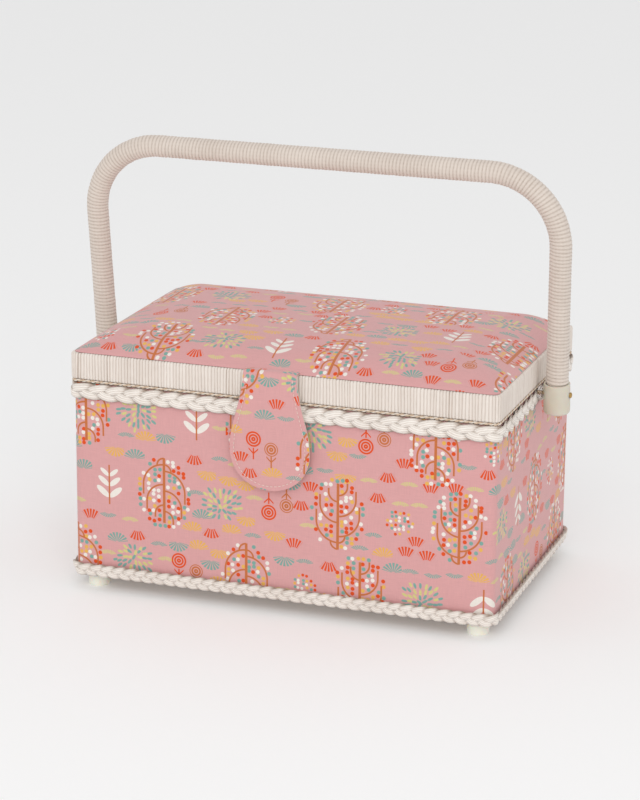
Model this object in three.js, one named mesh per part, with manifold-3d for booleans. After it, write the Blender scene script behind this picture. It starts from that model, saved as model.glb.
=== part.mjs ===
// Fabric-covered sewing box: a board body and a padded hinged lid, a cord-wrapped handle that swings
// on two rivets, a clasp flap with a snap, four screwed feet and two lift-out trays.
// Millimetres, +Z up, the front towards -Y, the feet's undersides on z = 0.
import * as THREE from 'three';
import { mergeVertices } from 'three/addons/utils/BufferGeometryUtils.js';
import Module from 'manifold-3d';

const wasm = await Module();
wasm.setup();

// ---- Driving dimensions ------------------------------------------------------------------------
const GAP = 0.3;
const FABRIC = 0.8;

const LID_HALF_X = 150;
const LID_HALF_Y = 96.3;
const LID_CORNER = 8.5;
const BODY_HALF_X = 148.6;
const BODY_HALF_Y = 94.9;
const BODY_CORNER = 6.1;
const BOARD = 5;

const BODY_BOTTOM = 10;
const BODY_TOP = 146.7;
const RIM_BOTTOM = 147.2;
const RIM_TOP = 167.2;
const PAD_BOTTOM = 167.5;
const PAD_HEIGHT = 12.8;
const PAD_EDGE = 14;
const PAD_INSET = 1.8;

const BRAID = 3.2;
const TOP_BRAID_BOTTOM = 137;
const BOTTOM_BRAID_BOTTOM = 9.6;
const BOTTOM_BRAID_TOP = 18.2;
const WRAP = 2.2;
const TWINE_TOP = 149.2;
const FRAME_BOTTOM = 150.2;
const STRIP = 6;
const LID_BOARD = 4;

const FOOT_X = 135.6;
const FOOT_Y = 82.9;
const FOOT_RADIUS = 7;
const COUNTERBORE = 3.7;
const COUNTERBORE_DEPTH = 3.2;
const SCREW_HEAD = 3.3;
const SCREW_HEAD_BOTTOM = 0.9;
const SCREW_HEAD_TOP = 2.9;
const SCREW_TIP = 14;

const HINGE_X = 88;
const HINGE_WIDTH = 24;
const HINGE_Y = 98.8;
const HINGE_Z = 147;
const KNUCKLE = 2;
const LEAF = 0.8;
const LEAF_DEPTH = 9;
const PIN_RADIUS = 0.8;
const PIN_BORE = 1.1;

const PIVOT_X = 163;
const PIVOT_Z = 144.3;
const HANDLE_LEAN = THREE.MathUtils.degToRad(5.8);
const HANDLE_SPLAY = THREE.MathUtils.degToRad(1.14);
const HANDLE_HEIGHT = 151.7;
const HANDLE_CORNER = 48.3;
const HANDLE_RADIUS = 7;
const CORE_RADIUS = 4.2;
const CAP_RADIUS = 9;
const CAP_ABOVE = 8;
const CAP_BELOW = 13.3;
const SOCKET_FLOOR = 3;
const BOLT_RADIUS = 1.3;
const BOLT_HOLE = 1.6;
const WASHER_RADIUS = 2.6;
const SPACER_RADIUS = 4.2;
const RIVET_HEAD = 2.1;

const FLAP_X = -5;
const FLAP_TOP = 168.4;
const FLAP_BOTTOM = 87.5;
const FLAP_FRONT = -100.8;
const FLAP_NECK = 18.6;
const FLAP_WAIST = 28;
const FLAP_WIDEST_Z = 115;
const SNAP_Z = 104;
const SNAP_RADIUS = 7;

const TRAY_FLOOR_Z = 100;
const TRAY_HEIGHT = 34;
const TRAY_WALL = 2.4;
const TRAY_INNER_X = 0.8;
const TRAY_OUTER_X = 137.2;
const TRAY_HALF_Y = 86;
const DIVIDER = 2;
const DIVIDER_DROP = 3;
const CROSS_Y = 22;
const NOTCH_RADIUS = 11;
const LEDGE_HALF_X = 136;
const LEDGE_DEPTH = 7;
const LEDGE_HEIGHT = 8;

// ---- Materials ---------------------------------------------------------------------------------
const finish = (color, roughness, metalness = 0) =>
  new THREE.MeshStandardMaterial({ color, roughness, metalness });

const boardWood = finish(0xc8a878, 0.75);
const printedCotton = finish(0xd9a3a5, 0.9);
const plainCotton = finish(0xe9dfd0, 0.92);
const creamCord = finish(0xe6ddd2, 0.9);
const ivoryPlastic = finish(0xe4e0cc, 0.4);
const foam = finish(0xf0ead8, 0.95);
const brass = finish(0xa8813f, 0.35, 1);
const steel = finish(0xb8b8b4, 0.35, 1);

// ---- Geometry helpers --------------------------------------------------------------------------
/** A rounded rectangle centred on the origin, given by its half sizes and corner radius. */
function roundedRectangle(halfX, halfY, radius) {
  const outline = new THREE.Shape();
  outline.moveTo(-halfX + radius, -halfY);
  outline.lineTo(halfX - radius, -halfY);
  outline.absarc(halfX - radius, -halfY + radius, radius, -Math.PI / 2, 0);
  outline.lineTo(halfX, halfY - radius);
  outline.absarc(halfX - radius, halfY - radius, radius, 0, Math.PI / 2);
  outline.lineTo(-halfX + radius, halfY);
  outline.absarc(-halfX + radius, halfY - radius, radius, Math.PI / 2, Math.PI);
  outline.lineTo(-halfX, -halfY + radius);
  outline.absarc(-halfX + radius, -halfY + radius, radius, Math.PI, Math.PI * 1.5);
  return outline;
}

/** An outline in the XY plane raised from z = bottom to z = top. */
function raise(outline, bottom, top, curveSegments = 5) {
  const geometry = new THREE.ExtrudeGeometry(outline, {
    depth: top - bottom,
    bevelEnabled: false,
    curveSegments,
  });
  return geometry.translate(0, 0, bottom);
}

/** A rounded rectangular band: the outer half sizes, its wall, and its height range. */
function band(halfX, halfY, radius, wall, bottom, top) {
  const outline = roundedRectangle(halfX, halfY, radius);
  outline.holes.push(roundedRectangle(halfX - wall, halfY - wall, Math.max(radius - wall, 0.5)));
  return raise(outline, bottom, top);
}

/** An axis-aligned block between two opposite corners. */
function block([x0, y0, z0], [x1, y1, z1]) {
  const geometry = new THREE.BoxGeometry(x1 - x0, y1 - y0, z1 - z0);
  return geometry.translate((x0 + x1) / 2, (y0 + y1) / 2, (z0 + z1) / 2);
}

/** A round rod along X between x0 and x1. */
function rodAlongX(radius, x0, x1, y, z, sides = 20) {
  const geometry = new THREE.CylinderGeometry(radius, radius, x1 - x0, sides);
  return geometry.rotateZ(Math.PI / 2).translate((x0 + x1) / 2, y, z);
}

/** A round disc along Y between y0 and y1. */
function discAlongY(radius, x, y0, y1, z, sides = 24) {
  const geometry = new THREE.CylinderGeometry(radius, radius, y1 - y0, sides);
  return geometry.translate(x, (y0 + y1) / 2, z);
}

/** A turned piece about Z from a closed profile of [radius, z] points. */
function turned(profile, segments = 18) {
  const points = profile.map(([radius, z]) => new THREE.Vector2(radius, z));
  points.push(points[0].clone());
  return new THREE.LatheGeometry(points, segments).rotateX(Math.PI / 2);
}

/** A closed geometry as a manifold solid. */
function toSolid(geometry) {
  const bare = geometry.clone();
  bare.deleteAttribute('normal');
  bare.deleteAttribute('uv');
  const merged = mergeVertices(bare, 1e-4);
  return new wasm.Manifold(new wasm.Mesh({
    numProp: 3,
    vertProperties: new Float32Array(merged.attributes.position.array),
    triVerts: new Uint32Array(merged.index.array),
  }));
}

/** A manifold solid as a geometry with flat-shaded faces. */
function toGeometry(solid) {
  const mesh = solid.getMesh();
  const indexed = new THREE.BufferGeometry();
  indexed.setAttribute('position', new THREE.BufferAttribute(mesh.vertProperties, 3));
  indexed.setIndex(new THREE.BufferAttribute(mesh.triVerts, 1));
  const flat = indexed.toNonIndexed();
  flat.computeVertexNormals();
  return flat;
}

/** A geometry with every one of the cutters taken away. */
function cut(geometry, ...cutters) {
  const solid = cutters.reduce((rest, cutter) => rest.subtract(toSolid(cutter)), toSolid(geometry));
  return toGeometry(solid);
}

/** The part that two geometries share. */
function common(first, second) {
  return toGeometry(toSolid(first).intersect(toSolid(second)));
}

/** Several geometries that overlap, joined into one. */
function join(first, ...others) {
  const solid = others.reduce((rest, other) => rest.add(toSolid(other)), toSolid(first));
  return toGeometry(solid);
}

const box = new THREE.Group();

/** Put a named piece into the box, or into a group inside it. */
function place(name, geometry, material, parent = box) {
  const mesh = new THREE.Mesh(geometry, material);
  mesh.name = name;
  parent.add(mesh);
  return mesh;
}

const SIDES = [['left', -1], ['right', 1]];
const CORNERS = [
  ['front_left', -1, -1],
  ['front_right', 1, -1],
  ['rear_left', -1, 1],
  ['rear_right', 1, 1],
];

// ---- Cutters that several pieces share ---------------------------------------------------------
/** The bore that a handle rivet needs through one side of the body. */
const rivetBore = (side, radius = BOLT_HOLE) =>
  rodAlongX(radius, side < 0 ? -160 : 130, side < 0 ? -130 : 160, 0, PIVOT_Z);

/** The mortise for one hinge, between two heights, from inside the wall to past the knuckle. */
const hingeMortise = (side, bottom, top) => block(
  [side * HINGE_X - HINGE_WIDTH / 2 - 0.5, BODY_HALF_Y - 12, bottom],
  [side * HINGE_X + HINGE_WIDTH / 2 + 0.5, HINGE_Y + 6, top],
);

// ---- Body: four wall boards and a bottom board -------------------------------------------------
const wallX = BODY_HALF_X - FABRIC - GAP;
const wallY = BODY_HALF_Y - FABRIC - GAP;
const insideX = wallX - BOARD;
const insideY = wallY - BOARD;

/** A front or back board, with its two outer edges rounded to the body's corner. */
function longBoard(side) {
  const rounded = raise(roundedRectangle(wallX, wallY, BOARD), BODY_BOTTOM, BODY_TOP);
  const slice = block(
    [-wallX - 1, side < 0 ? -wallY - 1 : insideY, BODY_BOTTOM - 1],
    [wallX + 1, side < 0 ? -insideY : wallY + 1, BODY_TOP + 1],
  );
  return common(rounded, slice);
}

/** A side board between the front and back boards, bored for its handle rivet. */
function sideBoard(side) {
  const board = block(
    [side < 0 ? -wallX : insideX, -insideY + GAP, BODY_BOTTOM],
    [side < 0 ? -insideX : wallX, insideY - GAP, BODY_TOP],
  );
  return cut(board, rivetBore(side));
}

const LEAF_BOTTOM = HINGE_Z - KNUCKLE;
const backBoard = cut(
  longBoard(1),
  hingeMortise(-1, LEAF_BOTTOM - GAP, BODY_TOP + 1),
  hingeMortise(1, LEAF_BOTTOM - GAP, BODY_TOP + 1),
);
place('front_panel', longBoard(-1), boardWood);
place('back_panel', backBoard, boardWood);
place('left_panel', sideBoard(-1), boardWood);
place('right_panel', sideBoard(1), boardWood);

/** Blind holes in the bottom board for the foot screws' threads. */
const screwPilots = CORNERS.map(([, sideX, sideY]) =>
  new THREE.CylinderGeometry(BOLT_HOLE, BOLT_HOLE, 2 * (SCREW_TIP + GAP - BODY_BOTTOM), 16)
    .rotateX(Math.PI / 2)
    .translate(sideX * FOOT_X, sideY * FOOT_Y, BODY_BOTTOM));
const bottomBoard = block(
  [-insideX + GAP, -insideY + GAP, BODY_BOTTOM],
  [insideX - GAP, insideY - GAP, BODY_BOTTOM + BOARD],
);
place('bottom_panel', cut(bottomBoard, ...screwPilots), boardWood);

// ---- Body fabric: the printed cover outside and the plain lining inside ------------------------
const COVER_TOP = LEAF_BOTTOM - 0.5;
const bodyCover = band(BODY_HALF_X, BODY_HALF_Y, BODY_CORNER, FABRIC, BODY_BOTTOM, COVER_TOP);
place('body_cover', cut(bodyCover, rivetBore(-1), rivetBore(1)), printedCotton);

const liningX = insideX - GAP;
const liningY = insideY - GAP;
const liningFloor = BODY_BOTTOM + BOARD + GAP;
const liningHollow = block(
  [-liningX + FABRIC, -liningY + FABRIC, liningFloor + FABRIC],
  [liningX - FABRIC, liningY - FABRIC, BODY_TOP + 5],
);
const liningOutside = block(
  [-liningX, -liningY, liningFloor],
  [liningX, liningY, LEAF_BOTTOM - 1],
);
const lining = cut(liningOutside, liningHollow, rivetBore(-1), rivetBore(1));
place('body_lining', lining, plainCotton);

// ---- Plaited trims round the body's top and bottom edges ---------------------------------------
const braidX = BODY_HALF_X + GAP + BRAID;
const braidY = BODY_HALF_Y + GAP + BRAID;
const braidCorner = BODY_CORNER + GAP + BRAID;
const topBraid = cut(
  band(braidX, braidY, braidCorner, BRAID, TOP_BRAID_BOTTOM, BODY_TOP),
  rivetBore(-1, SPACER_RADIUS + 0.6),
  rivetBore(1, SPACER_RADIUS + 0.6),
  hingeMortise(-1, LEAF_BOTTOM - 0.7, BODY_TOP + 1),
  hingeMortise(1, LEAF_BOTTOM - 0.7, BODY_TOP + 1),
);
place('top_braid', topBraid, creamCord);
const bottomBraid = band(
  braidX, braidY, braidCorner, BRAID, BOTTOM_BRAID_BOTTOM, BOTTOM_BRAID_TOP,
);
place('bottom_braid', bottomBraid, creamCord);

// ---- Feet: turned plastic, each held by one screw from below -----------------------------------
const FOOT_TOP = BODY_BOTTOM - GAP;
for (const [corner, sideX, sideY] of CORNERS) {
  const foot = turned([
    [COUNTERBORE, 0],
    [FOOT_RADIUS - 1.4, 0],
    [FOOT_RADIUS - 0.4, 1],
    [FOOT_RADIUS, 2.6],
    [FOOT_RADIUS, FOOT_TOP],
    [BOLT_HOLE, FOOT_TOP],
    [BOLT_HOLE, COUNTERBORE_DEPTH],
    [COUNTERBORE, COUNTERBORE_DEPTH],
  ]);
  place(`foot_${corner}`, foot, ivoryPlastic).position.set(sideX * FOOT_X, sideY * FOOT_Y, 0);
  const screw = new THREE.LatheGeometry([
    new THREE.Vector2(0, SCREW_HEAD_BOTTOM),
    new THREE.Vector2(SCREW_HEAD - 0.8, SCREW_HEAD_BOTTOM),
    new THREE.Vector2(SCREW_HEAD, SCREW_HEAD_BOTTOM + 1),
    new THREE.Vector2(SCREW_HEAD, SCREW_HEAD_TOP),
    new THREE.Vector2(BOLT_RADIUS, SCREW_HEAD_TOP),
    new THREE.Vector2(BOLT_RADIUS, SCREW_TIP - 0.8),
    new THREE.Vector2(0, SCREW_TIP),
  ], 14).rotateX(Math.PI / 2);
  place(`foot_screw_${corner}`, screw, steel).position.set(sideX * FOOT_X, sideY * FOOT_Y, 0);
}

// ---- Ledges that the trays rest on -------------------------------------------------------------
const LEDGE_TOP = TRAY_FLOOR_Z - GAP;
const ledgeOuterY = liningY - FABRIC - GAP;
for (const [end, side] of [['front', -1], ['rear', 1]]) {
  const near = side * ledgeOuterY;
  const far = side * (ledgeOuterY - LEDGE_DEPTH);
  const ledge = block(
    [-LEDGE_HALF_X, Math.min(near, far), LEDGE_TOP - LEDGE_HEIGHT],
    [LEDGE_HALF_X, Math.max(near, far), LEDGE_TOP],
  );
  place(`tray_ledge_${end}`, ledge, boardWood);
}

// ---- Trays: open boxes with finger notches and loose dividers ----------------------------------
const trayMidX = (TRAY_INNER_X + TRAY_OUTER_X) / 2;
const trayTop = TRAY_FLOOR_Z + TRAY_HEIGHT;
const trayInside = {
  x0: TRAY_INNER_X + TRAY_WALL,
  x1: TRAY_OUTER_X - TRAY_WALL,
  y: TRAY_HALF_Y - TRAY_WALL,
  z: TRAY_FLOOR_Z + TRAY_WALL,
};

/** One tray on the right-hand side: walls and floor, with a finger notch in each end wall. */
function trayShell() {
  const outside = block(
    [TRAY_INNER_X, -TRAY_HALF_Y, TRAY_FLOOR_Z],
    [TRAY_OUTER_X, TRAY_HALF_Y, trayTop],
  );
  const hollow = block(
    [trayInside.x0, -trayInside.y, trayInside.z],
    [trayInside.x1, trayInside.y, trayTop + 1],
  );
  const notch = rodAlongX(NOTCH_RADIUS, TRAY_INNER_X - 1, TRAY_OUTER_X + 1, 0, trayTop + 2);
  return cut(outside, hollow, notch);
}

/** A divider across a tray from x0 to x1 at a depth y, clear of the walls and floor. */
function crossDivider(x0, x1, y) {
  return block(
    [x0 + GAP, y - DIVIDER / 2, trayInside.z + GAP],
    [x1 - GAP, y + DIVIDER / 2, trayTop - DIVIDER_DROP],
  );
}

/** A divider along a tray from y0 to y1 at a place x. */
function longDivider(x, y0, y1) {
  return block(
    [x - DIVIDER / 2, y0 + GAP, trayInside.z + GAP],
    [x + DIVIDER / 2, y1 - GAP, trayTop - DIVIDER_DROP],
  );
}

for (const [name, side] of SIDES) {
  const tray = new THREE.Group();
  box.add(tray);
  const mirror = (geometry) => (side < 0 ? geometry.rotateZ(Math.PI) : geometry);
  place(`${name}_tray`, mirror(trayShell()), plainCotton, tray);
  const crossY = side * CROSS_Y;
  const cross = mirror(crossDivider(trayInside.x0, trayInside.x1, crossY));
  place(`${name}_tray_cross_divider`, cross, plainCotton, tray);
  const long = mirror(longDivider(trayMidX, -trayInside.y, crossY - DIVIDER / 2));
  place(`${name}_tray_long_divider`, long, plainCotton, tray);
}

// ---- Lid: a frame of four strips, a board, a foam pad and their fabric -------------------------
const frameX = LID_HALF_X - WRAP - GAP;
const frameY = LID_HALF_Y - WRAP - GAP;
const frameCorner = LID_CORNER - WRAP - GAP;
const FRAME_TOP = RIM_TOP - GAP;

/** A front or rear strip of the lid frame, with rounded outer ends. */
function longStrip(side) {
  const rounded = raise(roundedRectangle(frameX, frameY, frameCorner), FRAME_BOTTOM, FRAME_TOP);
  const slice = block(
    [-frameX - 1, side < 0 ? -frameY - 1 : frameY - STRIP, FRAME_BOTTOM - 1],
    [frameX + 1, side < 0 ? -frameY + STRIP : frameY + 1, FRAME_TOP + 1],
  );
  return common(rounded, slice);
}

/** A left or right strip between the front and rear strips. */
function shortStrip(side) {
  return block(
    [side < 0 ? -frameX : frameX - STRIP, -frameY + STRIP + GAP, FRAME_BOTTOM],
    [side < 0 ? -frameX + STRIP : frameX, frameY - STRIP - GAP, FRAME_TOP],
  );
}

place('lid_frame_front', longStrip(-1), boardWood);
place('lid_frame_rear', longStrip(1), boardWood);
place('lid_frame_left', shortStrip(-1), boardWood);
place('lid_frame_right', shortStrip(1), boardWood);

const lidBoardBottom = FRAME_TOP - LID_BOARD;
const lidBoard = block(
  [-frameX + STRIP + GAP, -frameY + STRIP + GAP, lidBoardBottom],
  [frameX - STRIP - GAP, frameY - STRIP - GAP, FRAME_TOP],
);
place('lid_board', lidBoard, boardWood);

/** A domed pad with its flat underside on z = PAD_BOTTOM and softly rounded upper edges. */
function pad(halfX, halfY, edge, height) {
  const outline = roundedRectangle(halfX - edge, halfY - edge, 1);
  const slab = new THREE.ExtrudeGeometry(outline, {
    depth: 1,
    bevelEnabled: true,
    bevelThickness: height - 1,
    bevelSize: edge,
    bevelSegments: 4,
    curveSegments: 4,
  }).translate(0, 0, PAD_BOTTOM);
  const below = block([-200, -200, PAD_BOTTOM - 40], [200, 200, PAD_BOTTOM]);
  return cut(slab, below);
}

const coverX = LID_HALF_X - PAD_INSET;
const coverY = LID_HALF_Y - PAD_INSET;
const foamInset = FABRIC + GAP;
place('lid_foam', pad(
  coverX - foamInset, coverY - foamInset, PAD_EDGE - foamInset, PAD_HEIGHT - foamInset,
), foam);
place('lid_cover', cut(
  pad(coverX, coverY, PAD_EDGE, PAD_HEIGHT),
  pad(coverX - FABRIC, coverY - FABRIC, PAD_EDGE - FABRIC, PAD_HEIGHT - FABRIC),
), printedCotton);

// ---- Rim: cord wound round the frame, a twined edge below it, and the lid lining ---------------
const channelWidth = STRIP + 2 * GAP;
const wrapInnerX = frameX + GAP - channelWidth - WRAP;
const wrapInnerY = frameY + GAP - channelWidth - WRAP;
const wrapSolid = band(
  LID_HALF_X, LID_HALF_Y, LID_CORNER, LID_HALF_X - wrapInnerX, RIM_BOTTOM, RIM_TOP,
);
const frameChannel = band(
  frameX + GAP, frameY + GAP, frameCorner + GAP, channelWidth, FRAME_BOTTOM - GAP, RIM_TOP + 1,
);
const aboveInnerLeg = block(
  [-wrapInnerX - WRAP - 0.5, -wrapInnerY - WRAP - 0.5, lidBoardBottom - 1.5],
  [wrapInnerX + WRAP + 0.5, wrapInnerY + WRAP + 0.5, RIM_TOP + 1],
);
const twineGroove = band(
  LID_HALF_X + 1, LID_HALF_Y + 1, LID_CORNER + 1, WRAP + 1, RIM_BOTTOM - 1, TWINE_TOP,
);
const LID_LEAF_TOP = HINGE_Z + KNUCKLE;
const lidMortises = [-1, 1].map((side) => hingeMortise(side, RIM_BOTTOM - 1, LID_LEAF_TOP + GAP));
place('rim_wrap', cut(
  wrapSolid, frameChannel, aboveInnerLeg, twineGroove, ...lidMortises,
), creamCord);

const twine = band(
  LID_HALF_X, LID_HALF_Y, LID_CORNER, WRAP - GAP, RIM_BOTTOM, TWINE_TOP - GAP,
);
const hingeOuterX = HINGE_X + HINGE_WIDTH / 2 + 0.5;
const hingeInnerX = HINGE_X - HINGE_WIDTH / 2 - 0.5;
const behindHinges = block([-hingeOuterX, 50, 140], [hingeOuterX, 110, 160]);
const betweenHinges = block([-hingeInnerX, 50, 140], [hingeInnerX, 110, 160]);
place('rim_twine', cut(twine, behindHinges), creamCord);
place('rim_twine_rear', common(twine, betweenHinges), creamCord);

const liningEdge = 0.4;
const lidLining = block(
  [-wrapInnerX + liningEdge, -wrapInnerY + liningEdge, lidBoardBottom - GAP - FABRIC],
  [wrapInnerX - liningEdge, wrapInnerY - liningEdge, lidBoardBottom - GAP],
);
place('lid_lining', lidLining, plainCotton);

// ---- Hinges: two brass butt hinges let into the rear edges, each two leaves and a pin ----------
/** The three knuckle stretches along a hinge, from its middle: body, lid, body. */
const KNUCKLES = [
  [-HINGE_WIDTH / 2, -HINGE_WIDTH / 6],
  [-HINGE_WIDTH / 6, HINGE_WIDTH / 6],
  [HINGE_WIDTH / 6, HINGE_WIDTH / 2],
];

/**
 * One hinge leaf: a flat plate reaching in from the knuckle line, level with the knuckle's top
 * (up = 1) or bottom (up = -1), which carries the knuckles it owns and is bored for the pin.
 */
function hingeLeaf(side, up, ownKnuckles) {
  const middle = side * HINGE_X;
  const outerZ = HINGE_Z + up * KNUCKLE;
  const innerZ = outerZ - up * LEAF;
  const plate = block(
    [middle - HINGE_WIDTH / 2, HINGE_Y - LEAF_DEPTH, Math.min(outerZ, innerZ)],
    [middle + HINGE_WIDTH / 2, HINGE_Y, Math.max(outerZ, innerZ)],
  );
  const knuckles = ownKnuckles.map((index) => {
    const [from, to] = KNUCKLES[index];
    return rodAlongX(KNUCKLE, middle + from, middle + to, HINGE_Y, HINGE_Z, 16);
  });
  const clearances = KNUCKLES.filter((stretch, index) => !ownKnuckles.includes(index))
    .map(([from, to]) => block(
      [middle + from - GAP, HINGE_Y - KNUCKLE - GAP, HINGE_Z - KNUCKLE - 1],
      [middle + to + GAP, HINGE_Y + KNUCKLE + 1, HINGE_Z + KNUCKLE + 1],
    ));
  const bore = rodAlongX(
    PIN_BORE, middle - HINGE_WIDTH, middle + HINGE_WIDTH, HINGE_Y, HINGE_Z, 12,
  );
  return cut(join(plate, ...knuckles), bore, ...clearances);
}

for (const [name, side] of SIDES) {
  place(`hinge_${name}_body_leaf`, hingeLeaf(side, -1, [0, 2]), brass);
  place(`hinge_${name}_lid_leaf`, hingeLeaf(side, 1, [1]), brass);
  const pin = rodAlongX(
    PIN_RADIUS,
    side * HINGE_X - HINGE_WIDTH / 2,
    side * HINGE_X + HINGE_WIDTH / 2,
    HINGE_Y,
    HINGE_Z,
    12,
  );
  place(`hinge_${name}_pin`, pin, brass);
}

// ---- Handle: a core and its cord wrapping, two plastic end caps, and their rivets --------------
/** A plane curve of lines and arcs, stood up so that its Y runs along Z. */
class StandingCurve extends THREE.Curve {
  constructor(flat) {
    super();
    this.flat = flat;
  }

  getPoint(t, target = new THREE.Vector3()) {
    const point = this.flat.getPoint(t);
    return target.set(point.x, 0, point.y);
  }
}

/** The handle's centre line from a height above the pivots, up, across and down again. */
function handleLine(fromHeight) {
  const legX = (height) => PIVOT_X + height * Math.tan(HANDLE_SPLAY);
  const rise = HANDLE_HEIGHT - HANDLE_CORNER * (1 + Math.sin(HANDLE_SPLAY));
  const arcX = legX(rise) - HANDLE_CORNER * Math.cos(HANDLE_SPLAY);
  const arcZ = HANDLE_HEIGHT - HANDLE_CORNER;
  const flat = new THREE.Path();
  flat.moveTo(-legX(fromHeight), fromHeight);
  flat.lineTo(-legX(rise), rise);
  flat.absarc(-arcX, arcZ, HANDLE_CORNER, Math.PI + HANDLE_SPLAY, Math.PI / 2, true);
  flat.lineTo(arcX, HANDLE_HEIGHT);
  flat.absarc(arcX, arcZ, HANDLE_CORNER, Math.PI / 2, -HANDLE_SPLAY, true);
  flat.lineTo(legX(fromHeight), fromHeight);
  return new StandingCurve(flat);
}

/** A round tube, hollow where innerRadius is above zero, along the handle's centre line. */
function handleTube(radius, innerRadius, fromHeight, halfSides) {
  const section = new THREE.Shape().absarc(0, 0, radius, 0, Math.PI * 2);
  if (innerRadius > 0) {
    section.holes.push(new THREE.Path().absarc(0, 0, innerRadius, 0, Math.PI * 2));
  }
  return new THREE.ExtrudeGeometry(section, {
    steps: 44,
    curveSegments: halfSides,
    extrudePath: handleLine(fromHeight),
  });
}

const handle = new THREE.Group();
handle.position.set(0, 0, PIVOT_Z);
handle.rotation.x = HANDLE_LEAN;
box.add(handle);
place('handle_core', handleTube(CORE_RADIUS, 0, SOCKET_FLOOR + GAP, 4), boardWood, handle);
place('handle_wrap', handleTube(
  HANDLE_RADIUS, CORE_RADIUS + GAP, SOCKET_FLOOR + GAP, 6,
), creamCord, handle);

/** An end cap: a plastic cup round the wrapped leg, cross-bored for its rivet. */
function endCap() {
  const cup = turned([
    [0, SOCKET_FLOOR],
    [0, -CAP_BELOW],
    [CAP_RADIUS - 1.2, -CAP_BELOW],
    [CAP_RADIUS, 1.2 - CAP_BELOW],
    [CAP_RADIUS, CAP_ABOVE - 0.5],
    [CAP_RADIUS - 0.4, CAP_ABOVE],
    [HANDLE_RADIUS + GAP, CAP_ABOVE],
    [HANDLE_RADIUS + GAP, SOCKET_FLOOR],
  ]);
  return cut(cup, rodAlongX(BOLT_HOLE, -12, 12, 0, 0, 16));
}

const capFace = PIVOT_X + CAP_RADIUS;
const boltEnd = insideX - 3.4;
for (const [name, side] of SIDES) {
  place(`handle_cap_${name}`, endCap(), ivoryPlastic, handle).position.x = side * PIVOT_X;
  const along = (from, to) => (side < 0 ? [-to, -from] : [from, to]);
  const shank = rodAlongX(BOLT_RADIUS, ...along(boltEnd, capFace + 0.8), 0, PIVOT_Z, 16);
  const head = rodAlongX(RIVET_HEAD, ...along(capFace + GAP, capFace + 1.5), 0, PIVOT_Z, 16);
  place(`pivot_rivet_${name}`, join(shank, head), brass);
  const spacer = cut(
    join(
      rodAlongX(WASHER_RADIUS, ...along(BODY_HALF_X + GAP, LID_HALF_X + 1), 0, PIVOT_Z, 16),
      rodAlongX(SPACER_RADIUS, ...along(LID_HALF_X + 0.4, PIVOT_X - CAP_RADIUS - GAP), 0, PIVOT_Z),
    ),
    rivetBore(side),
  );
  place(`pivot_spacer_${name}`, spacer, plainCotton);
  const washerFace = liningX - FABRIC - GAP;
  const washer = cut(
    rodAlongX(WASHER_RADIUS, ...along(washerFace - 1.2, washerFace), 0, PIVOT_Z, 16),
    rivetBore(side),
  );
  place(`pivot_washer_${name}`, washer, brass);
}

// ---- Clasp flap: two layers of cotton, with a snap between it and the body's front -------------
/** The flap's outline in X and Z: narrow at the rim, widest low down, with a round end. */
function flapOutline(inset) {
  const neck = FLAP_NECK - inset;
  const waist = FLAP_WAIST - inset;
  const top = FLAP_TOP;
  const bottom = FLAP_BOTTOM + inset;
  const widestZ = FLAP_WIDEST_Z;
  const outline = new THREE.Shape();
  outline.moveTo(-neck, top);
  outline.bezierCurveTo(-neck - 1, top - 24, -waist, widestZ + 18, -waist, widestZ);
  outline.bezierCurveTo(-waist, widestZ - 17, -waist + 13, bottom, 0, bottom);
  outline.bezierCurveTo(waist - 13, bottom, waist, widestZ - 17, waist, widestZ);
  outline.bezierCurveTo(waist, widestZ + 18, neck + 1, top - 24, neck, top);
  return outline;
}

/** A flap layer standing in the XZ plane, from y = front to y = back. */
function flapLayer(inset, front, back) {
  return raise(flapOutline(inset), 0, back - front, 8)
    .rotateX(Math.PI / 2)
    .translate(FLAP_X, back, 0);
}

const flapMiddle = FLAP_FRONT + FABRIC;
const flapBack = flapMiddle + GAP + FABRIC;
place('flap_outer', flapLayer(0, FLAP_FRONT, flapMiddle), printedCotton);
place('flap_backing', flapLayer(FABRIC, flapMiddle + GAP, flapBack), plainCotton);

const snapMiddle = (flapBack - BODY_HALF_Y) / 2;
const snapSocket = discAlongY(SNAP_RADIUS, FLAP_X, flapBack + GAP, snapMiddle - GAP / 2, SNAP_Z);
place('snap_socket', snapSocket, steel);
const snapStud = discAlongY(SNAP_RADIUS, FLAP_X, snapMiddle + GAP / 2, -BODY_HALF_Y - GAP, SNAP_Z);
place('snap_stud', snapStud, steel);

export default box;
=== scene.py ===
import math
import bmesh
import bpy
import numpy as np
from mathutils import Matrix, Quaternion, Vector


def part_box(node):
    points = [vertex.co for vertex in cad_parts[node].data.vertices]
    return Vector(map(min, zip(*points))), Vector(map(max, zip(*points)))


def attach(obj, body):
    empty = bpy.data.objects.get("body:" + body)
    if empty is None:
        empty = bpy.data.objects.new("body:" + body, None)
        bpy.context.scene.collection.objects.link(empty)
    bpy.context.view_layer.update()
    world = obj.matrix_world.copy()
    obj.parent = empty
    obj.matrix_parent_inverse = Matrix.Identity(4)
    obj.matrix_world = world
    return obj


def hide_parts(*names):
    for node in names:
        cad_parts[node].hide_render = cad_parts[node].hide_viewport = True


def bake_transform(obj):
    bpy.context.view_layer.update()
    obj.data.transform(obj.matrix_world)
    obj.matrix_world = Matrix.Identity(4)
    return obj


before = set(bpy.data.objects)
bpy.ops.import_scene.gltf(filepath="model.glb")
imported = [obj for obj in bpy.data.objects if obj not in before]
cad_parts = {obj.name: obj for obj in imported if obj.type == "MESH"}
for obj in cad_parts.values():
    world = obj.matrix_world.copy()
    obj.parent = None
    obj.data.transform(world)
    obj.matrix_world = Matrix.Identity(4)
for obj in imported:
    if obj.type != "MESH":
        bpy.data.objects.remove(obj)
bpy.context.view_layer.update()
MM = 0.001

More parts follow.
